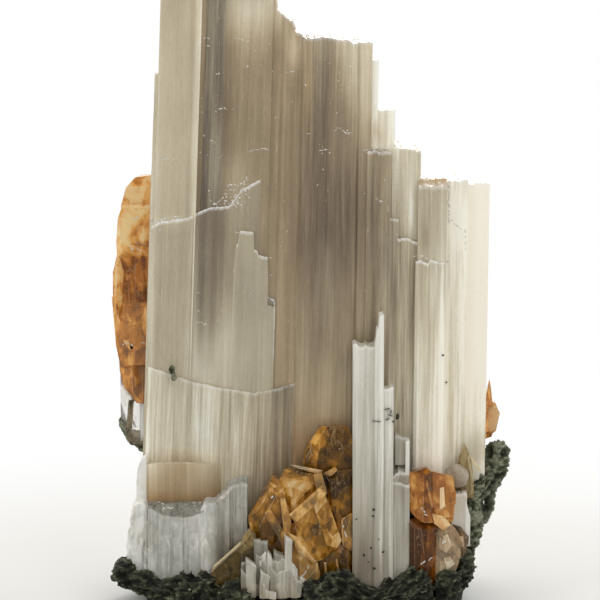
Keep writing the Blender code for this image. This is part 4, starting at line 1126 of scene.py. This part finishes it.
murk.add([(19.5, 14), (21.8, 14.6), (23, 13), (23, 9.2), (21.3, 3.7), (19.5, 3.7)], -14.4, -9.8,
    tone=((5, 0.76), (9, 0.44), (13, 0.46)), milk=0.24, seed=24, ledges=12, clear=0.5, wide=1.2)
murk.add([(21.6, 14.6), (23.4, 14), (24.3, 12.8), (24.1, 9.4), (22.8, 5), (21.4, 4)], -13.3, -9.4,
    tone=((6, 0.92), (12, 0.74)), milk=0.06, seed=25, ledges=9, clear=0.4)
VEINS = (((19.9, 20.6), (20.5, 20.8), (20.7, 17.4), (19.9, 17.4), -14.9, 0.05, 0.9),
    ((17.5, 22), (17.9, 22), (18.8, 18.1), (18.5, 17.3), -15, 0.34, 0.16), ((20.9, 21.6), (21.5, 21),
    (21.2, 18.1), (20.9, 18.9), -14.6, 0.28, 0.12), ((18.8, 16.6), (20.6, 16.2), (21.6, 14.8), (20.4, 14),
    (19.2, 15), -14.9, 0.2, 0.36), ((17, 13.6), (17.2, 13.6), (17.4, 10.2), (17.2, 10), -14.9, 0.5, 0.14),
    ((20, 12.8), (21.2, 13.2), (21.8, 11.6), (21, 10.4), (20, 11), -14.6, 0.18, 0.34),
    ((20.6, 9.8), (22.2, 10.4), (22.4, 8.2), (21.2, 7.4), -14.5, 0.26, 0.28), ((22.4, 12.6), (23.6, 12.8),
    (23.8, 11), (22.8, 10.6), -13.8, 0.5, 0.16))
for number, (*outline, front, tone, milk) in enumerate(VEINS):
    group = murk if number > 4 else right
    group.add(outline, front, -12.6, tone=tone, milk=milk, clear=0.4, wear=0.13, wide=0.3, glint=0.35,
        seed=120 + number, ledges=1, step=0.06)
MURKY_STOPS = (
    (0, (0.93, 0.8, 0.58)),
    (0.2, (0.64, 0.44, 0.23)),
    (0.42, (0.37, 0.215, 0.085)),
    (0.68, (0.16, 0.085, 0.03)),
    (1, (0.06, 0.032, 0.012)),
)
murky = clear_crystal("brown_calcite", MURKY_STOPS, veins=0.4, pale=(0.88, 0.74, 0.54),
                      painted_highlight=(0.97, 0.88, 0.7), inner=0.4)
right_honey_crystals = right.finish("right_honey_crystals", fiery)
right_murky_crystals = murk.finish("right_murky_crystals", murky)
for piece in (right_honey_crystals, right_murky_crystals):
    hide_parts("amber_right_crystal")
    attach(piece, "root")

# ---------------------------------------------------------------------------------------------
# Edge sliver: two thin flakes of clear honey calcite that grew against the slab's right edge. The
# small flakes of crushed ulexite that lie on all the honey crystals follow it; many sit where glints
# show and stand in for them, as painted glints.
# ---------------------------------------------------------------------------------------------
sliver = Crystals()
sliver.add([(28.4, 34.6), (27.9, 32), (27.3, 27.9), (27.6, 26), (28.7, 26.4), (29.1, 29.4), (28.8, 32.3)],
    -0.8, 4.4, tone=((26, 0.26), (30, 0.34), (34, 0.12)), clear=0.7, seed=31, step=0.08, ledges=3, wide=0.6)
sliver.add([(28.4, 31.3), (29.3, 31.7), (30, 30), (29.4, 27.1), (28.4, 26.3)], -1.2, 4, tone=0.12,
    milk=0.05, clear=0.7, seed=32, step=0.08, ledges=3, wide=0.6)
edge_honey_sliver = sliver.finish("edge_honey_sliver", fiery)
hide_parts("amber_edge_sliver")
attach(edge_honey_sliver, "root")

# white flakes on the crystals' ledges; many are placed where glints show, as painted glints
flakes = Flakes((centre_honey_cluster, right_honey_crystals, right_murky_crystals, left_honey_crystal), 23)
CRYSTAL_LEDGES_AND_GLINTS = (((-6.4, 19.4), (-6.1, 19.6)), ((-3.2, 22.4), (-2.8, 22.2)), ((-3.6, 25), (-3.3, 24.9)),
    ((3.1, 24), (3.4, 24.1)), ((-30.4, 40.8), (-29.4, 41.4), (-28.8, 40.6)), ((-27.4, 41), (-26.4, 41.8)),
    ((-29.4, 56.6), (-27.4, 56.2)), ((-28.6, 61.2), (-27.4, 61.6)), ((20, 11.6), (21.2, 12.4)),
    ((20.6, 8.4), (21.8, 9.2)), ((4.9, 14.6), (5.4, 12.2)), ((-1.9, 6), (-0.6, 8.4)),
    ((17, 17.6), (17.8, 16.6)), ((16.6, 8.6), (18.6, 9.4)),)
for points in CRYSTAL_LEDGES_AND_GLINTS:
    flakes.row(points, size=0.2, jitter=0.12)
crystal_flakes = flakes.finish("crystal_flakes", crushed_white_and_glints)
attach(crystal_flakes, "root")

# ---------------------------------------------------------------------------------------------
# Left tip: a clear blade of ulexite under the honey crystal, white at its edges, with a brown
# wedge sealed in. It grew on the slab's left edge, and a rind of clay clings to its foot.
# ---------------------------------------------------------------------------------------------
TIP_STOPS = (
    (0, (0.96, 0.955, 0.92)),
    (0.35, (0.74, 0.71, 0.62)),
    (0.7, (0.4, 0.31, 0.18)),
    (1, (0.12, 0.095, 0.055)),
)
glassy = clear_crystal("glassy_ulexite", TIP_STOPS, veins=0.6, pale=(0.92, 0.91, 0.87), inner=0.2)
tip = Crystals()
tip.add([(-31, 36), (-29.8, 36.6), (-25, 36), (-25, 23.7), (-27, 23.9), (-29.7, 25), (-31, 28.4)], 4.2,
    10.2, tone=((24, 0.4), (28, 0.05), (34, 0.15)), clear=0.85, seed=41)
tip.add([(-30.2, 36.4), (-25.3, 36.4), (-25.9, 33.9), (-27.7, 32.3), (-28.5, 29.4), (-29.3, 32.3)], 3.7,
    6.6, tone=((29, 0.75), (35, 0.6)), clear=0.6, seed=43, ledges=2, wide=0.6)
tip.add([(-29.6, 31.5), (-28.9, 31.5), (-29.2, 26.5), (-30.2, 26)], 3.6, 5.4, tone=0.9, clear=0.6, seed=44,
    ledges=1, wide=0.4)
tip.add([(-27.9, 31), (-27.2, 31.4), (-27.3, 25), (-27.9, 24.6)], 3.5, 6, tone=0.02, milk=0.5, clear=0.6,
    seed=42, ledges=1, wide=0.4)
tip.add([(-30.2, 27), (-27.6, 26.2), (-26.6, 24.6), (-28.6, 24.4), (-30, 25.4)], 3.7, 6.4, tone=0.7,
    clear=0.6, seed=45, ledges=2, wide=0.5)
clear_left_tip = tip.finish("clear_left_tip", glassy)
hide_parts("ulexite_left_tip")
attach(clear_left_tip, "root")

# ---------------------------------------------------------------------------------------------
# Olive crystal: a smoky olive-brown blade at the front foot, with a bright cleaved edge and a
# paler tip, beside the small cluster. The shard at the right foot is the same, but paler.
# ---------------------------------------------------------------------------------------------
OLIVE_STOPS = (
    (0, (0.78, 0.66, 0.42)),
    (0.35, (0.4, 0.29, 0.11)),
    (0.7, (0.13, 0.084, 0.018)),
    (1, (0.045, 0.03, 0.008)),
)
smoky = clear_crystal("olive_calcite", OLIVE_STOPS, veins=0.3, pale=(0.62, 0.5, 0.28), faceted=0.4)
olive = Crystals()
olive.add([(-15.4, 8.3), (-11.3, 12), (-9.4, 13.1), (-8.6, 10.6), (-8.6, 3.5), (-16, 3.5)], -15.6, -11.4,
    tone=((4, 0.85), (9, 0.72), (12, 0.62)), clear=0.25, seed=51, ledges=5, wide=0.9)
olive.add([(-10.8, 13.1), (-9.8, 14.2), (-8.9, 13.6), (-8.8, 11.4), (-10.6, 10.7)], -16.2, -12.4, tone=0.42,
    milk=0.05, clear=0.3, seed=52, ledges=2, wide=0.7)
olive.add([(-15.3, 8.6), (-11.2, 12.3), (-11, 12), (-15.1, 8.3)], -16.3, -14, tone=0.02, milk=0.4,
    clear=0.3, seed=53, ledges=0, wide=0.2)
olive_front_blade = olive.finish("olive_front_blade", smoky)
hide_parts("olive_front_crystal")
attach(olive_front_blade, "root")

shard = Crystals()
shard.add([(24.1, 26.6), (23.3, 24.9), (22.9, 21.8), (23.6, 18), (25.6, 18), (25.4, 21.8), (24.9, 24.9)],
    -9.6, -6.8, tone=((18, 0.5), (22, 0.34), (27, 0.2)), clear=0.4, seed=61, ledges=3, wide=0.7)
# a thin white body along the shard's right side: a painted glint
shard.add([(25, 24.3), (25.25, 24.5), (26.5, 22.5), (26.3, 22.4)], -9.5, -8.2, tone=0, milk=0.85, clear=0.2,
    seed=62, ledges=0, wide=0.2)
pale_shard = shard.finish("pale_shard", smoky)
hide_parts("tan_shard")
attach(pale_shard, "root")

# ---------------------------------------------------------------------------------------------
# Grey clear pebble: a rounded, worn grain of clear crystal, lodged between the right foot block
# and the slab. It is paler and greyer at its right.
# ---------------------------------------------------------------------------------------------
PEBBLE_AT = (22.83, -9.57, 21.68)
PEBBLE_HALF = (1.95, 1.9, 2)
bm = bmesh.new()
grown = bmesh.ops.create_icosphere(bm, subdivisions=4, radius=1)
for vert in grown["verts"]:
    x, y, z = vert.co
    swell = 1 + 0.05 * math.sin(4.1 * x + 2 * z) + 0.04 * math.sin(5.3 * z - 3.1 * y)
    swell = swell - 0.1 * max(0, z - 0.55)
    spot = [at + half * part * swell for at, half, part in zip(PEBBLE_AT, PEBBLE_HALF, (x, y, z))]
    vert.co = Vector(spot) * MM
pebble_mesh = meshed(bm, "grey_pebble")
pebble_mesh.shade_smooth()
rows = np.zeros(len(pebble_mesh.vertices))
rise = np.array([vert.co.x for vert in pebble_mesh.vertices]) / MM - PEBBLE_AT[0]
written_layers(pebble_mesh, {"tone": [0.52 - 0.14 * rise], "milk": [rows], "clear": [rows + 0.4],
    "facet": [rows + 0.5], "rim": [rows]})
PEBBLE_STOPS = (
    (0, (0.76, 0.7, 0.59)),
    (0.5, (0.48, 0.4, 0.28)),
    (1, (0.22, 0.17, 0.1)),
)
worn = clear_crystal("worn_grey_crystal", PEBBLE_STOPS, veins=0.2, rough=(0.12, 0.3), pale=(0.8, 0.77, 0.7),
                     inner=0.25)
grey_pebble = stone_object("grey_pebble", pebble_mesh, worn)
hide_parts("grey_clear_pebble")
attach(grey_pebble, "root")

# ---------------------------------------------------------------------------------------------
# Clay matrix: dark grey-green clay rock that the crystals grew in. It is foliated and crumbly,
# with a horn up the right side, paler grains in it, and a base sawn off flat.
# ---------------------------------------------------------------------------------------------
UNDERCUT, UNDERCUT_TALL = 3, 7  # how far the left underside is worn up, and below what height
DENT_AT, DENT_REACH, DENT_DEEP = 9.6, 4, 3.4  # the saddle in front of the honey crystals
PALE_STRIP_AT, PALE_STRIP_REACH = 26.4, 1.3  # the paler strip up the horn
SLACK = 0.3  # how far the worn skin may stand past the plain shape


def crumbled(node, cell, rough, seed, lumps, worn):
    """A finer copy of a node's own shape, worn into ridges and pits, and worn back at one end."""
    source = bpy.data.objects[node]
    bm = bmesh.new()
    bm.from_mesh(source.data)
    for x, y, z, radius, height in lumps:
        swollen = Matrix.Diagonal((radius * MM, radius * MM, height * MM, 1))
        shape = Matrix.Translation(Vector((x, y, z)) * MM) @ swollen
        bmesh.ops.create_icosphere(bm, subdivisions=2, radius=1, matrix=shape)
    copied = bpy.data.objects.new("rough", meshed(bm, "rough"))
    bpy.context.scene.collection.objects.link(copied)
    fine = copied.modifiers.new("fine", "REMESH")
    fine.mode = "VOXEL"
    fine.voxel_size = cell * MM
    graph = bpy.context.evaluated_depsgraph_get()
    mesh = bpy.data.meshes.new_from_object(copied.evaluated_get(graph))
    bpy.data.objects.remove(copied)
    mesh.materials.clear()
    count = len(mesh.vertices)
    points = np.empty(count * 3)
    normals = np.empty(count * 3)
    mesh.vertices.foreach_get("co", points)
    mesh.vertex_normals.foreach_get("vector", normals)
    points = points.reshape(-1, 3) / MM
    normals = normals.reshape(-1, 3)
    push = np.empty(count)
    for index, (x, y, z) in enumerate(points):
        spot = Vector((x, y, z))
        folds = Vector((0.42 * x + 0.3 * z + seed, 0.35 * y, 0.7 * z - 0.3 * x))
        layered = noise.ridged_multi_fractal(folds, 0.9, 2.1, 3, 1, 2)
        grit = noise.noise(spot * 1.5)
        near, next_near = noise.voronoi(Vector((0.95 * x, 0.95 * y, 1.7 * z + 0.5 * x)))[0][:2]
        push[index] = 0.62 * (layered - 1.2) + 0.22 * grit + 0.6 * min(0.5, next_near - near) - 0.14
    ground = ease(0, 1.2, points[:, 2])
    moved = points + normals * (push * rough * ground)[:, None]
    moved[:, 2] = np.where(points[:, 2] < 0.25 * cell, points[:, 2], np.maximum(moved[:, 2], 0.05))
    start, end, profile = worn
    moved[:, 0] -= along_profile(points[:, 2], profile) * ease(start, end, points[:, 0])
    under = 1 - ease(-34, -20, points[:, 0])
    moved[:, 2] += UNDERCUT * under * (1 - ease(0, UNDERCUT_TALL, points[:, 2]))
    dent = np.exp(-(((points[:, 0] - DENT_AT) / DENT_REACH) ** 2)) * (1 - ease(-12, -8, points[:, 1]))
    moved[:, 2] -= DENT_DEEP * dent * ease(2, 8, points[:, 2])
    low = np.array(source.bound_box).min(axis=0) / MM
    high = np.array(source.bound_box).max(axis=0) / MM
    moved = np.clip(moved, low - SLACK * ground[:, None], high + SLACK)
    moved[:, 2] = np.maximum(moved[:, 2], 0)
    mesh.vertices.foreach_set("co", (moved * MM).ravel())
    pale_strip = np.exp(-(((moved[:, 0] - PALE_STRIP_AT) / PALE_STRIP_REACH) ** 2)) * ease(7, 10, moved[:, 2])
    pale_strip = pale_strip * (1 - ease(17, 21, moved[:, 2]))
    written_layers(mesh, {"height": [push], "pale_strip": [pale_strip]})
    return mesh


def grey_green_clay(name):
    look = Shader(name)
    where = look.object_place()
    grit = look.noise(look.place(where, (2600, 2600, 3400)), detail=5, rough=0.7)
    blotch = look.noise(look.place(where, (300, 300, 420), turn=(0, 0.5, 0)), detail=3)
    leaf = look.place(where, (520, 700, 1700), turn=(0.3, 0.6, 0))
    leaf = look.noise(leaf, detail=3, rough=0.6, twist=0.6)
    shade = look.swing(blotch, 0.5, look.math("MULTIPLY", grit, 0.6))
    shade = look.swing(leaf, 0.7, shade)
    # darker in the pits and paler on the ridges of the worn skin: painted shade and light
    shade = look.math("MULTIPLY_ADD", look.attribute("height"), 0.6, shade)
    # lighter higher up, on the horn and upper clay: painted light from above and the right
    shade = look.math("ADD", shade, look.spread(look.split(where)["Z"], 0.006, 0.013, 0.02, 0.25))
    shade = look.math("MULTIPLY_ADD", look.attribute("pale_strip"), 0.2, shade)
    tone = look.ramp(shade, ((0.12, (0.006, 0.007, 0.004)), (0.32, (0.026, 0.029, 0.015)),
                             (0.5, (0.08, 0.086, 0.05)), (0.75, (0.24, 0.25, 0.17))))
    pale = look.math("MULTIPLY", look.spread(leaf, 0.6, 0.68), look.spread(grit, 0.48, 0.62))
    look.paint(Base_Color=look.mix(pale, tone, (0.34, 0.34, 0.23)),
               Roughness=look.spread(grit, 0.3, 0.7, 0.55, 0.9),
               Specular_IOR_Level=0.3)
    look.bump(look.math("MULTIPLY_ADD", leaf, 0.6, grit), 0.8, 0.0003)
    return look.material


clay = grey_green_clay("grey_green_clay")
FOOT_LUMPS = ((-29.2, -12.6, 6, 2.4, 3), (-26.6, -14.6, 5.4, 2.4, 2.6), (-23.6, -15.6, 4.6, 2.2, 2.2),
    (-16.6, -15.4, 5.4, 1.9, 2.4), (-18.6, -15.8, 4.4, 2.2, 2.2), (27.1, -8, 18.9, 1.2, 2.6),
    (26.6, -9.5, 13.4, 1.8, 4.2), (25.4, -12.2, 7.4, 2, 3.6), (23, -14.4, 5.2, 2.4, 2.8))
HORN_WORN = (16, 22, ((0, 2), (5, 1.9), (9, 1.6), (12, 1.4), (16, 1.3), (19, 1.5), (21, 0.3), (24, 0)))
RIND_WORN = (-40, -39, ((22, -1.3), (24, -0.8), (26.5, -0.5), (28.4, 0)))
for name, node, cell, rough, seed, lumps, worn in (
        ("clay_rock", "clay_matrix", 0.3, 1, 0, FOOT_LUMPS, HORN_WORN),
        ("clay_rind", "clay_left_rind", 0.22, 0.5, 5, (), RIND_WORN),
        ("clay_chip", "clay_fleck", 0.1, 0.15, 9, (), (0, 1, ((0, 0), (1, 0))))):
    piece = stone_object(name, crumbled(node, cell, rough, seed, lumps, worn), clay)
    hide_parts(node)
    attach(piece, "root")
